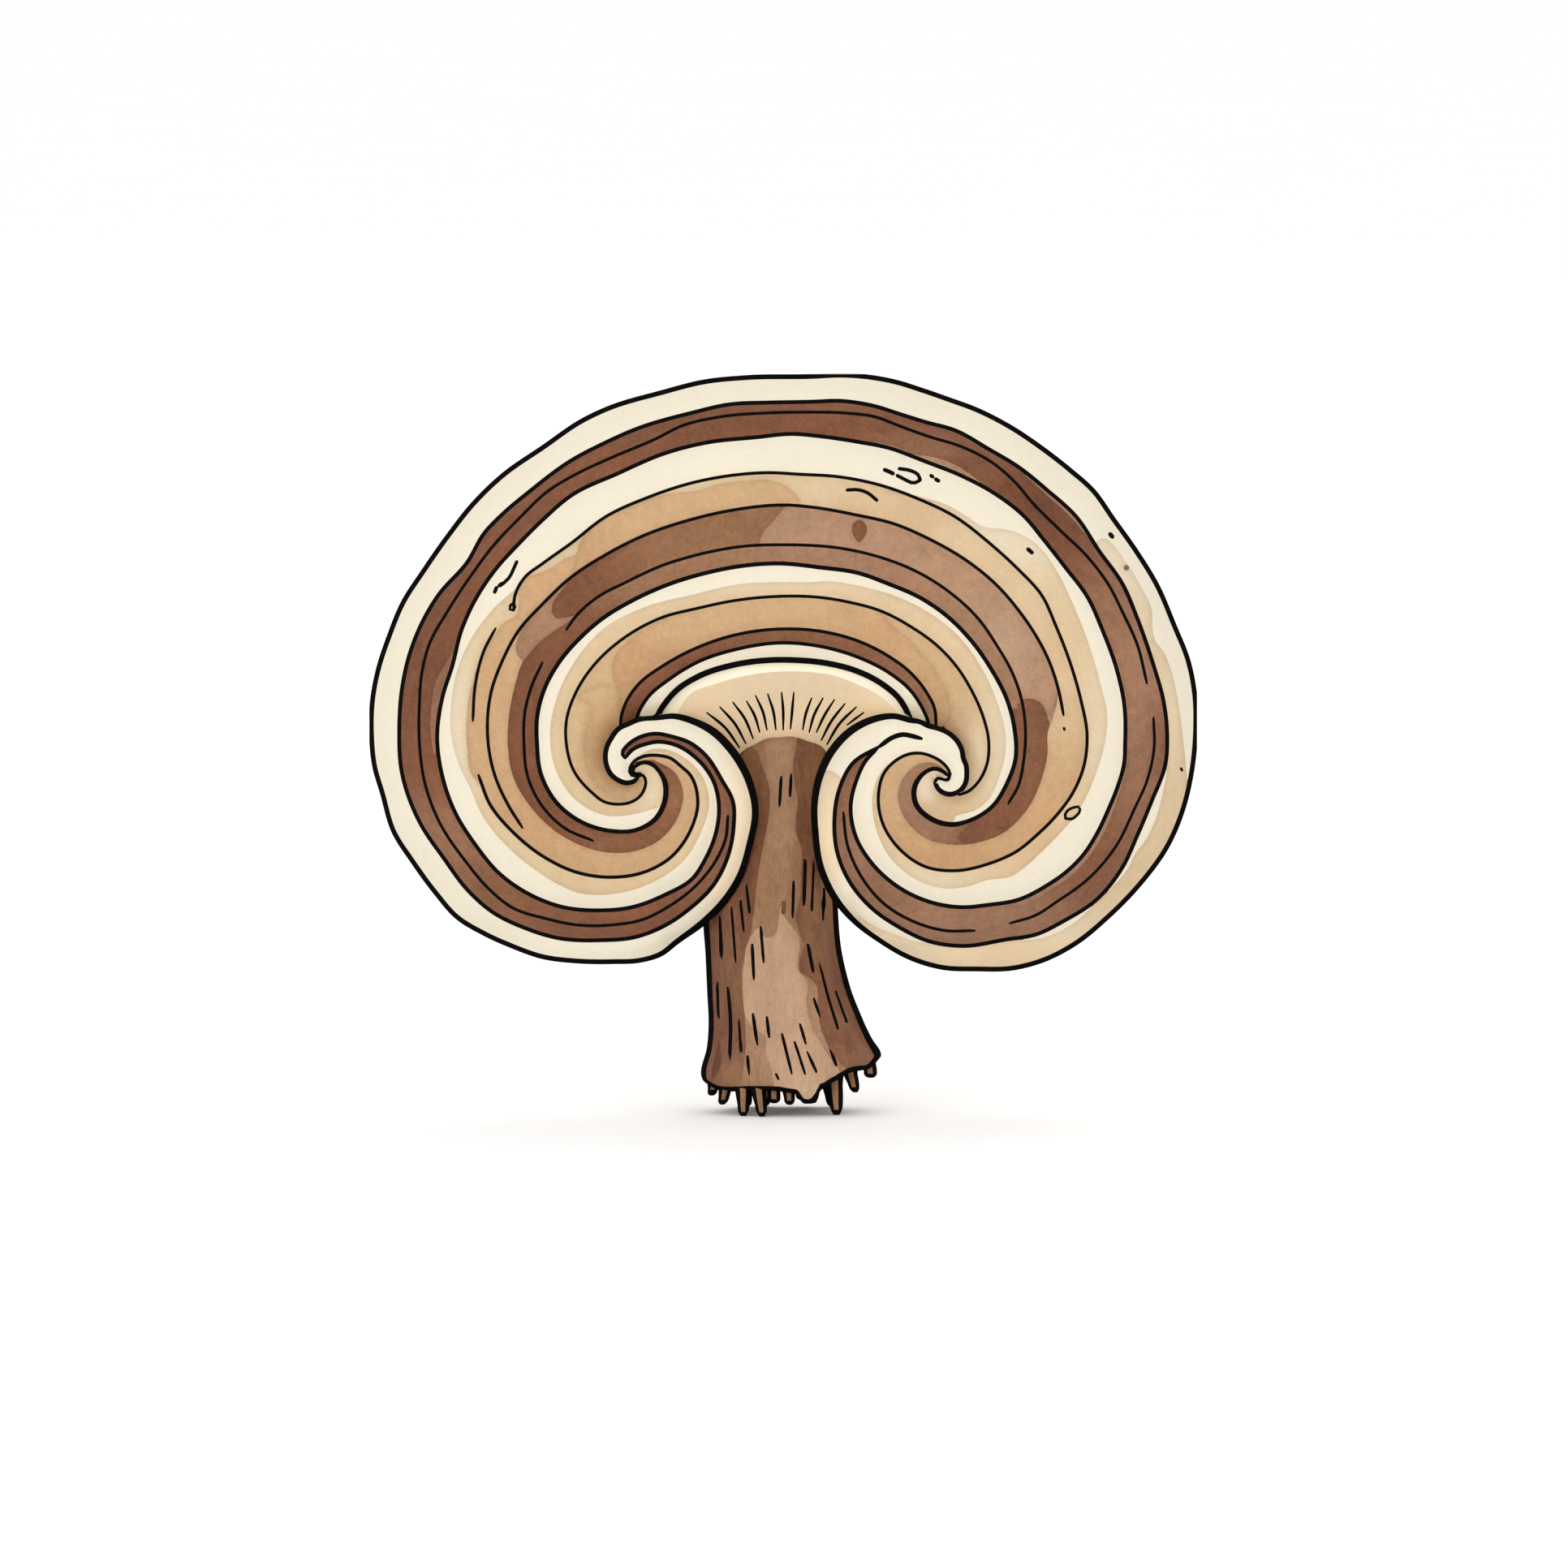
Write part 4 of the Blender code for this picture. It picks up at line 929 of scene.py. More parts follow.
class Fan:
    """The cap's face and back as depths over the front view."""

    def __init__(self):
        self.rim = smooth_line(RIM_LEFT[::-1] + RIM_RIGHT, 3.0, RIM_INK)
        self.edge = self.rim[:, :2] - normals(self.rim) * self.rim[:, 2:3]
        arch = smooth_line(ARCH, 4.0, ARCH_INK)
        below = arch[:, :2] + normals(arch) * ARCH_INK
        left, right = (self.edge_number(half["join"], half["side"]) for half in HALVES)
        keep = np.ones(len(below), bool)
        for half, hook in zip(HALVES, (self.edge[: left + 1][::-1], self.edge[right:])):
            half["slit"] = np.concatenate([hook, [half["eye"]]])
            self.prepare(half)
            theta, radius = self.polar(half, *below.T)
            near = (below[:, 0] - MIDDLE_X) * half["side"] > 0
            keep &= ~(near & (radius < self.reach(half, theta + 360) + 1.0))
        self.arch = below[keep]
        self.outline = np.concatenate([self.edge[left : right + 1], self.arch[::-1]])
        for half in HALVES:
            self.prepare_upright(half)

    def edge_number(self, point, side):
        """The edge sample nearest a join, on the stem side of its lobe."""
        away = np.hypot(*(self.edge - point).T)
        away[(np.arange(len(away)) - len(away) / 2) * side <= 0] = np.inf
        return int(np.argmin(away))

    @staticmethod
    def polar(half, x, y):
        """The angle and the radius of places about a half's eye."""
        outward = (x - half["eye"][0]) * half["side"]
        up = half["eye"][1] - y
        return (90 + np.degrees(np.arctan2(outward, up))) % 360, np.hypot(outward, up)

    @staticmethod
    def reach(half, angle):
        """The radius of a half's edge at some angles about its eye."""
        return np.interp(angle, half["angles"], half["radii"])

    def prepare(self, half):
        """A half's edge as radius by angle about its eye."""
        start = index_near(self.edge, half["far"])
        line = self.edge[: start + 1][::-1] if half["side"] < 0 else self.edge[start:]
        theta, radius = self.polar(half, *line.T)
        angle = np.maximum.accumulate(np.degrees(np.unwrap(np.radians(theta))))
        kept = angle < half["hook_end"]
        half["angles"] = np.append(angle[kept], half["hook_end"])
        half["radii"] = np.append(radius[kept], 0.0)
        half["join_angle"] = float(self.polar(half, *half["join"])[0]) + 360

    def prepare_upright(self, half):
        """The inner edge and the top edge of the fan between its middle and the half's eye."""
        side, eye = half["side"], half["eye"]
        top = self.edge[self.edge[:, 1] < TOP_Y]
        half["top"] = top[np.argsort(top[:, 0])]
        arch = self.arch[(self.arch[:, 0] - MIDDLE_X) * side >= 0]
        slit = half["slit"]
        out = (slit[:, 0] - eye[0]) * side
        slit = slit[(slit[:, 1] < eye[1] - 20) & (out < 26)]
        inner = np.concatenate([arch, slit])
        out = (inner[:, 0] - eye[0]) * side
        order = np.argsort(out)
        half["inner_out"], half["inner_y"] = out[order], inner[order, 1]
        half["seam_angles"] = np.arange(half["hook_end"] - 360, half["hook_end"] + 1, 2.0)
        seam = np.maximum(half["seam_angles"], half["join_angle"])
        x = eye[0] + side * self.reach(half, seam) * np.sin(np.radians(seam - 90))
        below = np.where(seam - 360 < 90, upright_angle(x, eye[0]), seam - 360)
        half["seam"] = self.skin(below, np.zeros(len(below)))

    def lip(self, points):
        """Which points of the face lie on a lobe's rolled-over lip or hook."""
        found = np.zeros(len(points), bool)
        for half in HALVES:
            mine = (points[:, 0] - MIDDLE_X) * half["side"] >= 0
            theta, radius = self.polar(half, *points.T)
            turned = theta + 360 <= half["hook_end"]
            found |= mine & turned & (radius < self.reach(half, theta + 360))
        return found

    @staticmethod
    def face(angle, share):
        """How far forward the face lies, by angle and by share of the way out to the rim."""
        rim, crest = curve_value(MARGIN_FORWARD, angle), curve_value(CREST_FORWARD, angle)
        inner = curve_value(INNER_FORWARD, angle)
        forward = rim + (crest - rim) * (1 - share**3) ** 0.7
        rolled = np.maximum(0.0, 1 - share / curve_value(INNER_ROLL, angle))
        return forward - (crest - inner) * rolled**2

    def skin(self, angle, share):
        """How far forward the back lies, behind its margin's or its flesh's thickness."""
        flesh = (FLESH_THICKNESS - MARGIN_THICKNESS) * np.sqrt(1 - share**2)
        flesh = flesh * (1 - (1 - ease((angle - 80) / 12)) * (1 - ease(share / 0.15)))
        return self.face(angle, share) - MARGIN_THICKNESS - flesh

    def depths(self, x, y, lip, back=False):
        """How far forward the face or the back lies at places of the front view."""
        found = np.zeros(len(x))
        for half in HALVES:
            mine = (x - MIDDLE_X) * half["side"] >= 0
            found[mine] = self.half_depths(half, x[mine], y[mine], lip[mine], back)
        return found

    def half_depths(self, half, x, y, lip, back):
        surface = self.skin if back else self.face
        side, eye = half["side"], half["eye"]
        start = half["hook_end"] - 360
        theta, radius = self.polar(half, x, y)
        lip = (lip & (theta < start + 1.5)) | (~lip & (theta < 20))
        angle = theta + 360 * lip
        inner = np.where(angle <= start, self.reach(half, angle + 360), 0)
        wide = self.reach(half, angle) - inner
        share = np.clip((radius - inner) / np.maximum(wide, 1e-6), 0, 1)
        if not back:
            share = np.minimum(share, 1 - np.minimum(0.25, FLAT_EDGE / np.maximum(wide, 1)))
        turning = surface(angle, share)
        if back:
            hub = self.face(np.array([half["hook_end"]]), np.zeros(1))[0] - FLESH_THICKNESS
            seam = np.interp(angle, half["seam_angles"], half["seam"])
            whorl = hub + (seam - hub) * share
            turning += (whorl - turning) * ease((angle - start) / (half["join_angle"] - start))
        out = (x - eye[0]) * side
        inner_y = np.interp(out, half["inner_out"], half["inner_y"])
        high = inner_y - np.interp(x, *half["top"].T)
        share = np.clip((inner_y - y) / np.maximum(high, 1e-6), 0, 1)
        if not back:
            share = np.minimum(share, 1 - FLAT_EDGE / np.maximum(high, 20))
        upright = surface(np.clip(upright_angle(x, eye[0]), 45, 108), share)
        turned = np.where(lip | (y >= eye[1]), 1.0, ease((out + 45) / 75))
        return upright + (turning - upright) * turned


def niche_forward(x, y):
    """The pale underside that falls back from the arch's edge towards the stem."""
    x = np.clip(x, ARCH[0][0], ARCH[-1][0])
    eye = np.where(x < MIDDLE_X, HALVES[0]["eye"][0], HALVES[1]["eye"][0])
    edge = Fan.face(upright_angle(x, eye), np.zeros(len(x))) - NICHE_STEP
    below = np.maximum(0.0, y - curve_value(ARCH, x))
    return edge - NICHE_FALL * (below / NICHE_REACH) ** 2


class Paint:
    """Washes, blooms and ink over one sheet of the drawing."""

    def __init__(self, base):
        self.colours = bpy.context.scene.fungus_colours
        self.washes = [(base, base, None, False)]
        self.blooms, self.pooled = {}, None

    def wash(self, name, pigment_name, outline, under=False):
        """Lay a wash over those before it; one that is `under` ends at the lobes' lips."""
        self.washes.append((name, pigment_name, outline, under))

    def colour(self, name):
        return np.array(tuple(getattr(self.colours, name)))

    def solid(self, name, shade=1.0):
        """A pigment's colour, shaded and opaque."""
        return np.append(self.colour(name) * shade, 1.0)

    def apply(self, corners, faces, middles, inked, lip=None, at=None):
        """The colour at every corner of every face, with the ink's at the inked ones."""
        lip = np.zeros(len(faces), bool) if lip is None else lip
        owner = np.zeros(len(faces), int)
        for number, (_, _, outline, under) in enumerate(self.washes):
            if outline is not None:
                within = inside(outline, middles)
                owner[within & ~(lip & under)] = number
        bases = np.array([self.colour(wash[1]) for wash in self.washes])
        colours = np.repeat(bases[owner][:, None, :], 3, axis=1)
        names = np.array([wash[0] for wash in self.washes])[owner]
        at = (corners if at is None else at)[faces]
        for wash, blooms in self.blooms.items():
            for x, y, across, down, name, amount in blooms:
                away = ((at[..., 0] - x) / across) ** 2 + ((at[..., 1] - y) / down) ** 2
                share = amount * np.exp(-away) * (names == wash)[:, None]
                colours += (self.colour(name) - colours) * share[..., None]
        if self.pooled is not None:
            away = nearest(self.pooled, corners)[0][faces]
            pool = POOL_SHADE * np.exp(-((away / POOL_WIDTH) ** 2)) * (names != "cream")[:, None]
            colours *= 1 - pool[..., None]
        colours[inked] = self.colour("ink")
        return np.concatenate([colours, np.ones((len(faces), 3, 1))], axis=2)


def add_object(name, data):
    made = bpy.data.objects.new(name, data)
    bpy.context.scene.collection.objects.link(made)
    return made


def make_object(name, points, faces, colours, materials, slots, node):
    """A piece of the fungus from its points, faces, corner colours and material slots."""
    data = bpy.data.meshes.new(name)
    data.from_pydata(points.tolist(), [], [tuple(int(i) for i in f) for f in faces])
    for one in materials:
        data.materials.append(one)
    data.polygons.foreach_set("material_index", np.asarray(slots, np.int32))
    layer = data.color_attributes.new("pigment", "FLOAT_COLOR", "CORNER")
    layer.data.foreach_set("color", np.asarray(colours, np.float32).ravel())
    data.shade_smooth()
    data.set_sharp_from_angle(angle=math.radians(CREASE_ANGLE))
    data.validate(clean_customdata=False)
    made = add_object(name, data)
    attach(made, "root")
    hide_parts(node)
    return made


class Nodes:
    """A material's nodes, added and linked in short lines."""

    def __init__(self, name):
        self.material = bpy.data.materials.new(name)
        self.material.use_nodes = True
        self.tree = self.material.node_tree
        self.shader = self.tree.nodes["Principled BSDF"]

    def add(self, kind, settings=None, **inputs):
        node = self.tree.nodes.new("ShaderNode" + kind)
        for key, value in (settings or {}).items():
            setattr(node, key, value)
        for key, value in inputs.items():
            self.put(node.inputs[key.replace("_", " ")], value)
        return node

    def put(self, socket, value):
        if isinstance(value, bpy.types.NodeSocket):
            self.tree.links.new(value, socket)
        else:
            socket.default_value = value

    def math(self, operation, a, b=0.5, c=0.0):
        node = self.tree.nodes.new("ShaderNodeMath")
        node.operation = operation
        for socket, value in zip(node.inputs, (a, b, c)):
            self.put(socket, value)
        return node.outputs[0]

    def mix(self, share, a, b, blend="MIX"):
        node = self.tree.nodes.new("ShaderNodeMix")
        node.data_type, node.blend_type = "RGBA", blend
        self.put(node.inputs["Factor"], share)
        self.put(node.inputs["A"], a)
        self.put(node.inputs["B"], b)
        return node.outputs["Result"]

    def grey(self, value):
        return self.add("CombineColor", Red=value, Green=value, Blue=value).outputs["Color"]

    def noise(self, where, scale, detail=2.0, roughness=0.5):
        node = self.add("TexNoise", Scale=scale, Detail=detail, Roughness=roughness)
        self.put(node.inputs["Vector"], where)
        return node.outputs["Fac"]


def velvet_material(name, mottle=1.0, bump=0.35, pores=0.0, grain=(1, 1, 1)):
    """Watercolour-mottled skin: soft blotches, paper-like grain and a fine nap. Dark paint varies
    most and pale paint hardly at all."""
    nodes = Nodes(name)
    where = nodes.add("TexCoord").outputs["Object"]
    where = nodes.add("Mapping", Vector=where, Scale=grain).outputs["Vector"]
    colour = nodes.add("Attribute", {"attribute_name": "pigment"}).outputs["Color"]
    dark = nodes.math("SUBTRACT", 1.2, nodes.add("RGBToBW", Color=colour).outputs["Val"])
    dark = nodes.math("POWER", dark, 3.0)
    soft = nodes.noise(where, 130.0, 3.0, 0.6)
    bloom = nodes.noise(where, 420.0, 3.0, 0.6)
    fine = nodes.noise(where, 1400.0, 2.0, 0.6)
    nap = nodes.noise(where, 4200.0, 2.0, 0.6)
    uneven = nodes.math("MULTIPLY_ADD", soft, 0.40, -0.20)
    for part, share in ((bloom, 0.34), (fine, 0.42), (nap, 0.46)):
        uneven = nodes.math("ADD", uneven, nodes.math("MULTIPLY_ADD", part, share, -share / 2))
    shade = nodes.math("MULTIPLY_ADD", nodes.math("MULTIPLY", uneven, dark), mottle, 1.0)
    colour = nodes.mix(1.0, colour, nodes.grey(shade), "MULTIPLY")
    height = nodes.math("MULTIPLY_ADD", nap, 0.5, nodes.math("MULTIPLY", fine, 0.5))
    if pores:
        cells = nodes.add("TexVoronoi", {"feature": "F1"}, Scale=1 / pores, Randomness=0.9)
        nodes.put(cells.inputs["Vector"], where)
        pit = nodes.math("SMOOTH_MIN", cells.outputs["Distance"], 0.42, 0.15)
        pit = nodes.math("MULTIPLY", pit, 2.4)
        # Painted shade: each pore darkens towards its middle with a brown, as shade in the hole.
        pore_shade = nodes.math("MULTIPLY", nodes.math("SUBTRACT", 1.0, pit), 0.42)
        colour = nodes.mix(pore_shade, colour, (*linear("A5825C"), 1.0))
        height = nodes.math("MULTIPLY_ADD", pit, 1.2, height)
    bumped = nodes.add("Bump", Strength=bump, Distance=0.00012)
    nodes.put(bumped.inputs["Height"], height)
    nodes.put(nodes.shader.inputs["Base Color"], colour)
    nodes.put(nodes.shader.inputs["Roughness"], nodes.math("MULTIPLY_ADD", fine, 0.12, 0.78))
    nodes.put(nodes.shader.inputs["Normal"], bumped.outputs["Normal"])
    nodes.shader.inputs["Specular IOR Level"].default_value = 0.15
    nodes.shader.inputs["Sheen Weight"].default_value = 0.03
    return nodes.material


def ink_material(name):
    """Matt near-black lines, a little uneven as a pen leaves them."""
    nodes = Nodes(name)
    where = nodes.add("TexCoord").outputs["Object"]
    colour = nodes.add("Attribute", {"attribute_name": "pigment"}).outputs["Color"]
    worn = nodes.math("MULTIPLY", nodes.noise(where, 1400.0, 3.0, 0.6), 0.006)
    worn_colour = nodes.mix(1.0, colour, nodes.grey(worn), "ADD")
    nodes.put(nodes.shader.inputs["Base Color"], worn_colour)
    nodes.shader.inputs["Roughness"].default_value = 0.9
    nodes.shader.inputs["Specular IOR Level"].default_value = 0.0
    return nodes.material


LINES = {name: points for name, (_, points) in {**FACE_LINES, **UNDER_LINES}.items()}
LINES.update(WASH_EDGES, rim_right=RIM_RIGHT)


def stretch(part):
    """A named line, the same run backwards, or its stretch between two places."""
    if isinstance(part, tuple):
        rows = smooth_line(LINES[part[0]], 5.0)[:, :2]
        first, last = (index_near(rows, spot) for spot in part[1:])
        return rows[first : last + 1] if first <= last else rows[last : first + 1][::-1]
    rows = smooth_line(LINES[part.lstrip("-")], 5.0)[:, :2]
    return rows[::-1] if part.startswith("-") else rows


def joined(parts):
    """One closed outline from stretches of lines and lists of points."""
    return np.concatenate([
        np.array(part, float) if isinstance(part, list) else stretch(part) for part in parts])


def patch(points):
    """A closed, softly rounded patch."""
    closed = list(points[-2:]) + list(points) + list(points[:2])
    rows = smooth_line(closed, 4.0)[:, :2]
    middle = len(rows) // 2
    first = index_near(rows[:middle], points[0])
    return rows[first : middle + index_near(rows[middle:], points[0])]


def face_paint():
    """The washes of the cap's face, with the loops and lines that their edges need."""
    paint = Paint("cream")
    paint.blooms = BLOOMS
    for name, tone, parts, under in WASHES:
        paint.wash(name, tone, joined(parts), under)
    loops = []
    for name, tone, points, under in PATCHES:
        loops.append(patch(points))
        paint.wash(name, tone, loops[-1], under)
    edges = [smooth_line(points, 5.0) for points in WASH_EDGES.values()]
    pooled = sample(edges + loops, 2.0)[:, :2]
    faint = np.array([np.hypot(*(pooled - (x, y)).T) < radius for x, y, radius in SOFT_ENDS])
    paint.pooled = pooled[~faint.any(axis=0)]
    return paint, loops, edges


def cap_strokes():
    """The cap's inked lines by name, as rows of x, y and half width."""
    strokes = {}
    for name, (width, points) in {**FACE_LINES, **UNDER_LINES}.items():
        rows = smooth_line(points, 5.0, width)
        whole = name in ("arch", "zone_6", "zone_7") or name.startswith("mark")
        strokes[name] = rows if whole else taper(rows)
        strokes[name][:, 2] += INK_SPREAD
    return strokes


def showing(strokes, on_lip, start=""):
    """The strokes that show on the lobes' lips, or on the rest of the face."""
    return [rows for name, rows in strokes.items()
            if name.startswith(start) and not (on_lip and name in UNDER_LINES)]


def slits_and_rim(fan, corners, faces, lip):
    """The edges where a lip lies in front of the turn before, and the corners round the rim."""
    slits, ahead = [], {}
    for (a, b), users in edge_users(faces).items():
        if len(users) == 1:
            ahead[users[0][1]] = users[0][2]
        elif lip[users[0][0]] != lip[users[1][0]]:
            spot = (corners[a] + corners[b]) / 2
            half = HALVES[int(spot[0] > MIDDLE_X)]
            theta, radius = fan.polar(half, *spot)
            on_edge = abs(radius - fan.reach(half, theta + 360)) < 1.2
            if on_edge and theta + 360 > half["join_angle"] - 4:
                slits.append(users[0] if lip[users[0][0]] else users[1])
    rim = [next(iter(ahead))]
    while ahead[rim[-1]] != rim[0]:
        rim.append(ahead[rim[-1]])
    return slits, np.array(rim)


def split_slits(corners, faces, lip, slits):
    """The corners with those along the slits doubled, which of them lie on a lip, and the
    doubles by corner. The triangles behind a lip take the doubles."""
    split = {v for _, a, b in slits for v in (a, b)}
    split -= {int(nearest(corners, [half["eye"]])[1][0]) for half in HALVES}
    split = sorted(split)
    double = {v: len(corners) + k for k, v in enumerate(split)}
    on_lip = np.zeros(len(corners) + len(split), bool)
    on_lip[faces.ravel()] = np.repeat(lip, 3)
    on_lip[split] = True
    for number in np.flatnonzero(~lip):
        faces[number] = [double.get(v, v) for v in faces[number].tolist()]
    return np.concatenate([corners, corners[split]]), on_lip, double


def zone_relief(fan, strokes, corners, lip):
    """How far the zones' crowns and furrows stand out, fading towards the rim."""
    sizes = bpy.context.scene.fungus_sizes
    away = np.zeros(len(corners))
    for on_lip in (False, True):
        mine = np.flatnonzero(lip == on_lip)
        away[mine] = nearest(sample(showing(strokes, on_lip, "zone"), 3.0), corners[mine])[0]
    furrow = sizes.furrow * np.exp(-((away / FURROW_WIDTH) ** 2))
    calm = ease(nearest(fan.edge, corners)[0] / CALM_RIM)
    return (sizes.crown * ease(away / CROWN_SLOPE) - furrow) / UNIT * calm


def build_cap():
    """The cap as one sheet: its painted face, the wall round its rim and its pored back."""
    sizes = bpy.context.scene.fungus_sizes
    fan, strokes = Fan(), cap_strokes()
    paint, loops, edges = face_paint()
    loops += [stroke_outline(rows) for rows in strokes.values()]
    rim_ink = fan.rim + (0, 0, 2 * INK_SPREAD)
    inner_rim = fan.rim[:, :2] + normals(fan.rim) * rim_ink[:, 2:3]
    lines = edges + [inner_rim] + [half["slit"] for half in HALVES]
    spacing = sizes.face_spacing / UNIT
    corners, faces = triangulate([fan.outline] + loops, lines, fan.outline, spacing)
    middles = corners[faces].mean(axis=1)
    lip = fan.lip(middles)
    inked = np.zeros(len(faces), bool)
    for on_lip in (False, True):
        mine = np.flatnonzero(lip == on_lip)
        inked[mine] = under_ink(sample(showing(strokes, on_lip) + [rim_ink]), middles[mine])
    colours = paint.apply(corners, faces, middles, inked, lip).reshape(-1, 4)
    slits, rim = slits_and_rim(fan, corners, faces, lip)
    front, on_lip, double = split_slits(corners, faces, lip, slits)
    forward = fan.depths(*front.T, on_lip) + zone_relief(fan, strokes, front, on_lip)

    # The back has the face's outline; its corners there are found by their places.
    spots = corners[rim]
    back, back_faces = triangulate([spots], [], spots, BACK_SPACING, 0.45)
    found = {tuple(np.round(p, 3)): k for k, p in enumerate(back)}
    match = np.array([found[tuple(np.round(p, 3))] for p in spots])
    back_lip = fan.lip(back)
    back_lip[match] = fan.lip(spots + (spots.mean(axis=0) - spots) * 0.004)
    hind = fan.depths(*back.T, back_lip, back=True)
    back_faces = back_faces[:, ::-1]

    # The walls: down from each lip to the turn behind it, and round the rim in three rows.
    points = [place(*front.T, forward), place(*back.T, hind)]
    rows = [rim]
    for share in (0.35, 0.75):
        rows.append(sum(len(p) for p in points) + np.arange(len(rim)))
        points.append(place(*spots.T, forward[rim] + (hind[match] - forward[rim]) * share))
    rows.append(len(front) + match)
    wall = []
    for _, a, b in slits:
        quad = [a, double.get(a, a), double.get(b, b), b]
        wall.append([v for k, v in enumerate(quad) if v not in quad[:k]])
    for above, below in zip(rows, rows[1:]):
        for k in range(len(rim)):
            after = (k + 1) % len(rim)
            wall.append([above[after], above[k], below[k], below[after]])

    cream = paint.solid("cream")
    inward = ease(nearest(fan.edge, back)[0] / PALE_MARGIN)[:, None]
    tint = cream + (paint.solid("pore") - cream) * inward
    # The walls take the cream a little darker, at 0.96, as painted shade on the rim's edge and
    # under the lips.
    colours = np.concatenate([
        colours, np.repeat([paint.solid("cream", 0.96)], sum(len(face) for face in wall), axis=0),
        tint[back_faces.ravel()]])
    every = faces.tolist() + wall + (len(front) + back_faces).tolist()
    slots = [2 * int(k) for k in inked] + [0] * len(wall) + [1] * len(back_faces)
    skin = velvet_material("zoned_skin")
    pores = velvet_material("pore_surface", bump=0.6, pores=sizes.pore_size)
    return make_object("zoned_cap", np.concatenate(points), every, colours,
                       [skin, pores, ink_material("zone_lines")], slots, "cap")


def build_underside():
    """The neck of pale flesh that carries the hood, with the ribbed underside as its front."""
    sizes = bpy.context.scene.fungus_sizes
    rows = np.array(NECK_ROWS, float)
    y = np.linspace(rows[0, 0], rows[-1, 0], 60)
    half_width = curve_value(rows[:, :2], y)
    outline = np.concatenate([
        np.stack([MIDDLE_X - half_width, y], axis=1)[::-1],
        np.stack([MIDDLE_X + half_width, y], axis=1),
    ])
    sand = patch(NICHE_SAND)
    # The underside's pale flesh, laid lighter than the face's cream to lift the shade of the
    # niche: partly painted light.
    paint = Paint("flesh")
    paint.wash("gills", "gills", sand)
    paint.blooms = NICHE_PAINTED_LIGHT
    ribs = [taper(smooth_line(rib, 4.0, RIB_INK), 16, 0.55) for rib in RIBS]
    loops = [outline] + [stroke_outline(rib) for rib in ribs] + [sand]
    corners, faces = triangulate(loops, [], outline, 6.0)
    middles = corners[faces].mean(axis=1)
    samples = sample(ribs)
    inked = under_ink(samples, middles)
    colours = paint.apply(corners, faces, middles, inked).reshape(-1, 4)
    reach = curve_value(rows[:, :2], corners[:, 1])
    back = curve_value(rows[:, [0, 2]], corners[:, 1])
    front = np.maximum(niche_forward(*corners.T), back + NECK_EDGE)
    across = np.clip((corners[:, 0] - MIDDLE_X) / reach, -1, 1)
    depth = np.maximum(NECK_EDGE, (front - back) * (1 - across**2) ** 0.75)
    front = front - RIB_GROOVE * np.exp(-((nearest(samples, corners)[0] / 3) ** 2))
    count = len(corners)
    points = np.concatenate([place(*corners.T, front), place(*corners.T, front - depth)])
    wall = [[b, a, a + count, b + count]
            for ((_, a, b), *rest) in edge_users(faces).values() if not rest]
    every = faces.tolist() + wall + (faces[:, ::-1] + count).tolist()
    hind = np.repeat([paint.solid("pore")], 4 * len(wall) + faces.size, axis=0)
    slots = [2 * int(k) for k in inked] + [1] * (len(wall) + len(faces))
    skin = velvet_material("underside_skin")
    pores = velvet_material("neck_pores", bump=0.6, pores=sizes.pore_size)
    return make_object("underside", points, every, np.concatenate([colours, hind]),
                       [skin, pores, ink_material("rib_lines")], slots, "cap")


def stem_rings(along):
    """Left x, right x, middle y, tilt, forward middle, half depth and droop along the stem."""
    rings = [
        (left[0], right[0], (left[1] + right[1]) / 2,
         (right[1] - left[1]) / (right[0] - left[0]), *rest)
        for left, right, *rest in STEM_RINGS
    ]
    return [curve_value([(ring[-1], ring[k]) for ring in rings], along) for k in range(7)]


def stem_growth(turn, along):
    """How far the skin stands out from the rings: a dark ridge runs down each side."""
    first, last = RIDGE_TURNS
    turn = np.abs(turn)
    ridge = ease((turn - first) / RIDGE_SLOPE) * (1 - ease((turn - last) / RIDGE_SLOPE))
    lower = ease((along - SHOULDER) / SHOULDER_REACH)
    return STEM_GROWTH + lower * (RIDGE_HEIGHT * ridge - LESS_GROWTH)


def stem_places(turn, along, relief=0.0):
    """x, y and forward on the stem at some turns from its front, in degrees."""
    left, right, low, rise, middle, depth, droop = stem_rings(along)
    angle = np.radians(turn)
    skin = FLUTE_DEPTH * np.cos(FLUTES * (math.pi / 2 - angle) + 0.004 * along) + relief
    skin = skin + stem_growth(turn, along)
    across = ((right - left) / 2 + skin) * np.sin(angle)
    x = (left + right) / 2 + across
    y = low + rise * across + droop * curve_value(HEM_DROOP, x)
    return x, y, middle + (depth + skin) * np.cos(angle)


def on_stem(rows):
    """A line of the front view as turn times roundness and place along the stem."""
    x, y = rows[:, 0], rows[:, 1]
    along = np.clip(y, STEM_TOP, HEM_PLACE)
    for _ in range(40):  # damped, because the hem is steep beside its tongue
        left, right, low, rise, *_, droop = stem_rings(along)
        across = x - (left + right) / 2
        drawn = low + rise * across + droop * curve_value(HEM_DROOP, x)
        along = np.clip(along + 0.4 * (y - drawn), STEM_TOP, HEM_PLACE + 3)
    wide = (right - left) / 2 + stem_growth(0.0, along)
    turn = np.degrees(np.arcsin(np.clip(across / wide, -0.999, 0.999)))
    least = wide * np.maximum(np.cos(np.radians(turn)), 0.35) / RADIAN
    for _ in range(8):
        here, ahead = stem_places(turn, along)[0], stem_places(turn + 0.4, along)[0]
        slope = np.maximum((ahead - here) / 0.4, 0.6 * least)
        turn += np.where(np.abs(across / wide) < 0.94, np.clip((x - here) / slope, -2, 2), 0)
    return np.column_stack([turn * STEM_FLAT, along, rows[:, 2] * STEM_FLAT / slope])


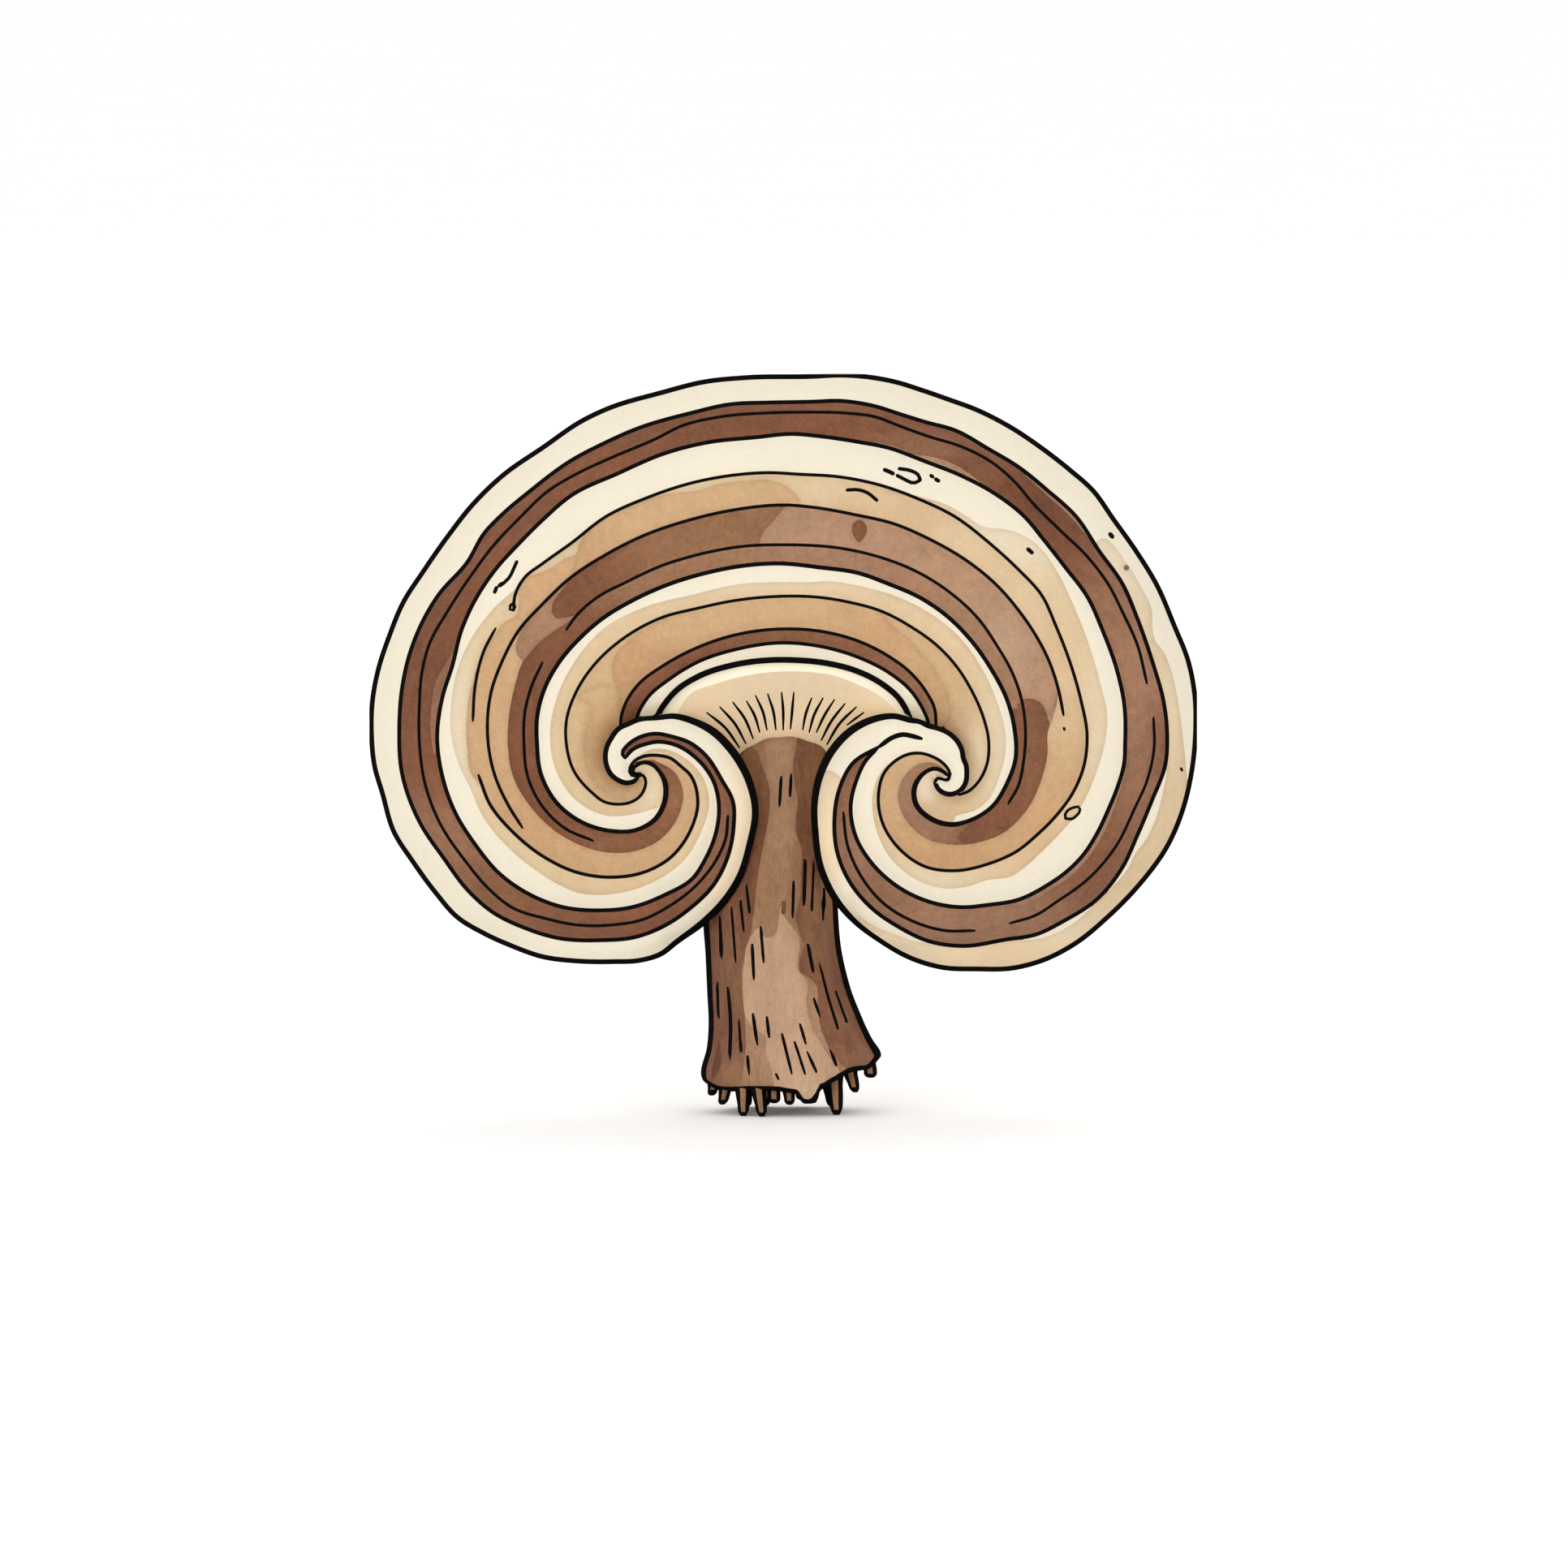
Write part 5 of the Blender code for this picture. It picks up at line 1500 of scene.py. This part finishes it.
def stem_outline():
    """The stem's skin laid out flat, from turn to turn and from its top to its hem."""
    return np.array(
        [(-HALF_TURN, q) for q in np.linspace(STEM_TOP, STEM_END, 75)]
        + [(s, STEM_END) for s in np.linspace(-HALF_TURN, HALF_TURN, 89)[1:-1]]
        + [(HALF_TURN, q) for q in np.linspace(STEM_END, STEM_TOP, 75)]
        + [(s, STEM_TOP) for s in np.linspace(HALF_TURN, -HALF_TURN, 89)[1:-1]]
    )


def stem_strokes():
    """The ink of the fibres on the stem's front, and of their mirror images at its back."""
    strokes = [taper(on_stem(smooth_line(fibre, 4.0, FIBRE_INK)), 6, 0.65) for fibre in FIBRES]
    behind = []
    for rows in strokes:
        other = rows.copy()
        other[:, 0] = HALF_TURN - rows[:, 0]
        other[:, 0] = (other[:, 0] + HALF_TURN) % (2 * HALF_TURN) - HALF_TURN
        if np.ptp(other[:, 0]) < 60 and np.abs(other[:, 0]).max() < HALF_TURN - 4:
            behind.append(other)
    return strokes + behind


def stem_washes():
    """The washes as (name, loop) on the stem's front and in its mirror images at the back."""
    washes = []
    for name, points in STEM_WASHES:
        drawn = patch(points)
        loop = on_stem(np.column_stack([drawn, np.zeros(len(drawn))]))[:, :2]
        washes.append((name, loop))
        for turn in (-HALF_TURN, HALF_TURN):
            washes.append((name, np.column_stack([turn - loop[:, 0], loop[:, 1]])))
    return washes


def hem_edge(across):
    """How far along the stem the hem's ink begins, by place across its skin."""
    down = np.linspace(1285, STEM_END, 56)
    x, y, _ = stem_places(across[:, None] / STEM_FLAT, down[None, :])
    lowest = np.zeros(90)
    column = ((x - x.min()) / np.ptp(x) * (len(lowest) - 1)).astype(int)
    np.maximum.at(lowest, column.ravel(), y.ravel())
    contour = np.column_stack([np.linspace(x.min(), x.max(), len(lowest)), lowest])
    away = nearest(smooth_line(contour, 1.0), np.column_stack([x.ravel(), y.ravel()]))[0]
    hem = down[np.minimum((away.reshape(x.shape) > HEM_INK).sum(axis=1), len(down) - 1)]
    hem = np.convolve(np.pad(hem, 1, "edge"), np.ones(3) / 3, "valid")
    hem[-1] = hem[0]
    return hem


def stem_lines():
    """Lines of points down the stem's flanks and down the sides of the hem's tongue."""
    lines = [np.array([(turn * STEM_FLAT, q) for q in np.linspace(FLANK_TOP, STEM_END, 60)])
             for turn in (*(-line for line in FLANK_LINES[::-1]), *FLANK_LINES)]
    down = np.linspace(1300, STEM_END, 12)
    left, right = stem_rings(down)[:2]
    wide = (right - left) / 2 + stem_growth(0, down)
    for x in TONGUE_COLUMNS:
        turn = np.arcsin((x - (left + right) / 2) / wide)
        lines.append(np.column_stack([turn * STEM_ROUND, down]))
    return lines


def welded(corners):
    """For every corner of the skin the one to use, so that the edges at the back are one."""
    same = {}
    for k in np.flatnonzero(np.abs(np.abs(corners[:, 0]) - HALF_TURN) < 1e-3):
        same.setdefault(round(float(corners[k, 1]), 2), []).append(int(k))
    used = np.arange(len(corners))
    for ids in same.values():
        used[ids] = ids[0]
    return used


def build_stem():
    """The stem: its skin is triangulated flat, wrapped round and closed at both ends."""
    outline, strokes, washes = stem_outline(), stem_strokes(), stem_washes()
    across = np.linspace(-HALF_TURN, HALF_TURN, 241)
    hem = hem_edge(across)
    lines = stem_lines() + [np.column_stack([across, hem])]
    loops = [stroke_outline(rows) for rows in strokes] + [loop for _, loop in washes]
    corners, faces = triangulate([outline] + loops, lines, outline, 6.5)
    middles = corners[faces].mean(axis=1)
    samples = sample(strokes)
    inked = under_ink(samples, middles)
    turn = np.abs(middles[:, 0]) / STEM_FLAT
    on_flank = (turn > FLANK_LINES[0]) & (turn < FLANK_LINES[-1])
    inked |= on_flank & (middles[:, 1] > FLANK_TOP)
    inked |= middles[:, 1] > np.interp(middles[:, 0], across, hem)
    paint = Paint("bark")
    for name, loop in washes:
        paint.wash(name, name, loop)
    paint.blooms = STEM_BLOOMS
    turn, along = corners[:, 0] / STEM_FLAT, corners[:, 1]
    drawn = np.column_stack(stem_places(turn, along)[:2])
    colours = paint.apply(corners, faces, middles, inked, at=drawn).reshape(-1, 4)

    # Grooves under the fibres and a soft grain, but for the flanks' ridges and the back's seam.
    relief = -FIBRE_GROOVE * np.exp(-((nearest(samples, corners)[0] / 2.6) ** 2))
    relief += GRAIN_DEPTH * np.sin(corners[:, 0] * 0.9 + 1.5 * np.sin(along * 0.02))
    side = np.abs(turn)
    relief *= ease((180 - side) / 10) * (1 - ease((side - 68) / 6) * (1 - ease((side - 95) / 6)))
    points = [place(*stem_places(turn, along, relief)), place(*np.array(STEM_ENDS, float).T)]
    used = welded(corners)
    ends = []
    for number, q in enumerate((STEM_TOP, STEM_END)):
        ring = sorted({int(used[k]) for k in np.flatnonzero(np.abs(along - q) < 1e-3)},
                      key=lambda k: corners[k, 0])
        for a, b in zip(ring, ring[1:] + ring[:1]):
            ends.append([len(corners) + number, *((a, b) if number else (b, a))])
    # The stem's two ends, under the hem and inside the cap, take the dark bark at 0.6 as painted
    # shade.
    dark = np.repeat([paint.solid("dark_bark_and_shade", 0.6)], 3 * len(ends), axis=0)
    bark = velvet_material("stem_bark", mottle=1.2, bump=0.6, grain=(1, 1, 0.3))
    slots = [int(k) for k in inked] + [0] * len(ends)
    return make_object("fibrous_stem", np.concatenate(points), used[faces].tolist() + ends,
                       np.concatenate([colours, dark]), [bark, ink_material("stem_lines")],
                       slots, "stem")


def build_rootlets():
    """Each rootlet tapers from under the hem to a rounded tip, dark at its sides and end."""
    paint = Paint("bark")
    bark, ink = paint.solid("bark"), paint.solid("ink")
    turn = 2 * math.pi * (np.arange(ROOT_SIDES) + 0.5) / ROOT_SIDES
    circle = np.stack([np.cos(turn), np.sin(turn), 0 * turn], axis=1)
    middles = (np.arange(ROOT_SIDES) + 1) / ROOT_SIDES * 360
    bare = [min(abs((middle - c + 180) % 360 - 180) for c in BARE_TURNS) < BARE_HALF
            for middle in middles]
    shares = [*np.linspace(0, ROUNDED_FROM, 9), 0.88, 0.93, 0.97, 0.99, 1.0]
    points, faces, colours, slots = [], [], [], []
    for root, tip, root_width, tip_width in ROOTLETS:
        start, end = place(*np.array(root, float)), place(*np.array(tip, float))
        if tip[1] == GROUND_Y:
            end[2] = 0.0
        length = np.linalg.norm(end - start) / UNIT
        first = sum(len(p) for p in points)
        for share in shares:
            width = root_width + (tip_width - root_width) * share
            if share > ROUNDED_FROM:
                width *= math.sqrt(max(0.0, 1 - ((share - ROUNDED_FROM) / 0.22) ** 2))
            wave = 1 + 0.05 * np.cos(3 * turn + 9 * share)
            points.append(start + (end - start) * share + circle * (width * wave * UNIT)[:, None])
        for row, share in enumerate(shares[:-1]):
            ring = first + row * ROOT_SIDES
            for k in range(ROOT_SIDES):
                a, b = ring + k, ring + (k + 1) % ROOT_SIDES
                faces.append([a + ROOT_SIDES, b + ROOT_SIDES, b, a])
                shown = bare[k] and (1 - share) * length > DARK_TIP
                slots.append(0 if shown else 1)
                colours += [bark if shown else ink] * 4
        last = first + (len(shares) - 1) * ROOT_SIDES
        faces += [[last + k for k in range(ROOT_SIDES)][::-1],
                  [first + k for k in range(ROOT_SIDES)]]
        slots += [1, 1]
        colours += [ink] * (2 * ROOT_SIDES)
    skin = velvet_material("rootlet_bark", mottle=1.2, bump=0.6)
    return make_object("rootlets", np.concatenate(points), faces, np.array(colours),
                       [skin, ink_material("rootlet_lines")], slots, "stem")


def build_stage():
    """A plain pale floor, soft studio lights and the camera at the drawing's viewing angle."""
    data = bpy.data.meshes.new("floor")
    data.from_pydata([(-9, -9, 0), (9, -9, 0), (9, 9, 0), (-9, 9, 0)], [], [(0, 1, 2, 3)])
    nodes = Nodes("pale_floor")
    where = nodes.add("TexCoord").outputs["Object"]
    tone = nodes.math("MULTIPLY_ADD", nodes.noise(where, 40.0), 0.01, 0.97)
    nodes.put(nodes.shader.inputs["Base Color"], nodes.grey(tone))
    nodes.shader.inputs["Roughness"].default_value = 0.9
    data.materials.append(nodes.material)
    floor = add_object("floor", data)
    world = bpy.data.worlds.new("studio")
    world.use_nodes = True
    background = world.node_tree.nodes["Background"]
    background.inputs["Color"].default_value = (1.0, 1.0, 1.0, 1.0)
    background.inputs["Strength"].default_value = 1.02
    scene = bpy.context.scene
    scene.world = world
    scene.view_settings.view_transform = "Standard"
    target = Vector(place(*PICTURE_MIDDLE).tolist())
    for name, spot, size, power in LIGHTS:
        light = bpy.data.lights.new(name, "AREA")
        light.size, light.energy = size, power
        lamp = add_object(name, light)
        lamp.location = spot
        lamp.rotation_euler = (target - Vector(spot)).to_track_quat("-Z", "Y").to_euler()
    camera = bpy.data.cameras.new("camera")
    camera.lens, camera.sensor_width = LENS, SENSOR_WIDTH
    camera.clip_end = 100.0
    away = LENS / SENSOR_WIDTH * PICTURE_WIDTH * UNIT
    eye = add_object("camera", camera)
    eye.location = target + away * Vector((0, -math.cos(VIEW_ANGLE), math.sin(VIEW_ANGLE)))
    eye.rotation_euler = (math.pi / 2 - VIEW_ANGLE, 0, 0)
    scene.camera = eye


class FUNGUS_OT_cap(bpy.types.Operator):
    """Add the zoned cap with its rolled lobes and pore surface"""

    bl_idname = "fungus.cap"
    bl_label = "Zoned cap"

    def execute(self, context):
        build_cap()
        return {"FINISHED"}


class FUNGUS_OT_underside(bpy.types.Operator):
    """Add the pale, ribbed underside and the neck behind it"""

    bl_idname = "fungus.underside"
    bl_label = "Underside"

    def execute(self, context):
        build_underside()
        return {"FINISHED"}


class FUNGUS_OT_stem(bpy.types.Operator):
    """Add the fibrous stem with its torn hem"""

    bl_idname = "fungus.stem"
    bl_label = "Stem"

    def execute(self, context):
        build_stem()
        return {"FINISHED"}


class FUNGUS_OT_rootlets(bpy.types.Operator):
    """Add the rootlets under the hem"""

    bl_idname = "fungus.rootlets"
    bl_label = "Rootlets"

    def execute(self, context):
        build_rootlets()
        return {"FINISHED"}


class FUNGUS_OT_stage(bpy.types.Operator):
    """Add the pale floor, the studio lights and the camera"""

    bl_idname = "fungus.stage"
    bl_label = "Stage"

    def execute(self, context):
        build_stage()
        return {"FINISHED"}


class FUNGUS_PT_panel(bpy.types.Panel):
    bl_label = "Turkey tail fungus"
    bl_space_type = "VIEW_3D"
    bl_region_type = "UI"
    bl_category = "Fungus"

    def draw(self, context):
        for operator in OPERATORS:
            self.layout.operator(operator.bl_idname)
        for group in (context.scene.fungus_sizes, context.scene.fungus_colours):
            for name in group.__annotations__:
                self.layout.prop(group, name)


OPERATORS = (
    FUNGUS_OT_cap, FUNGUS_OT_underside, FUNGUS_OT_stem, FUNGUS_OT_rootlets, FUNGUS_OT_stage,
)
CLASSES = (FungusColours, FungusSizes, *OPERATORS, FUNGUS_PT_panel)


def register():
    for one in CLASSES:
        bpy.utils.register_class(one)
    bpy.types.Scene.fungus_colours = bpy.props.PointerProperty(type=FungusColours)
    bpy.types.Scene.fungus_sizes = bpy.props.PointerProperty(type=FungusSizes)


def unregister():
    del bpy.types.Scene.fungus_sizes
    del bpy.types.Scene.fungus_colours
    for one in reversed(CLASSES):
        bpy.utils.unregister_class(one)


def main():
    register()
    bpy.ops.fungus.cap()
    bpy.ops.fungus.underside()
    bpy.ops.fungus.stem()
    bpy.ops.fungus.rootlets()
    bpy.ops.fungus.stage()


if __name__ == "__main__":
    main()
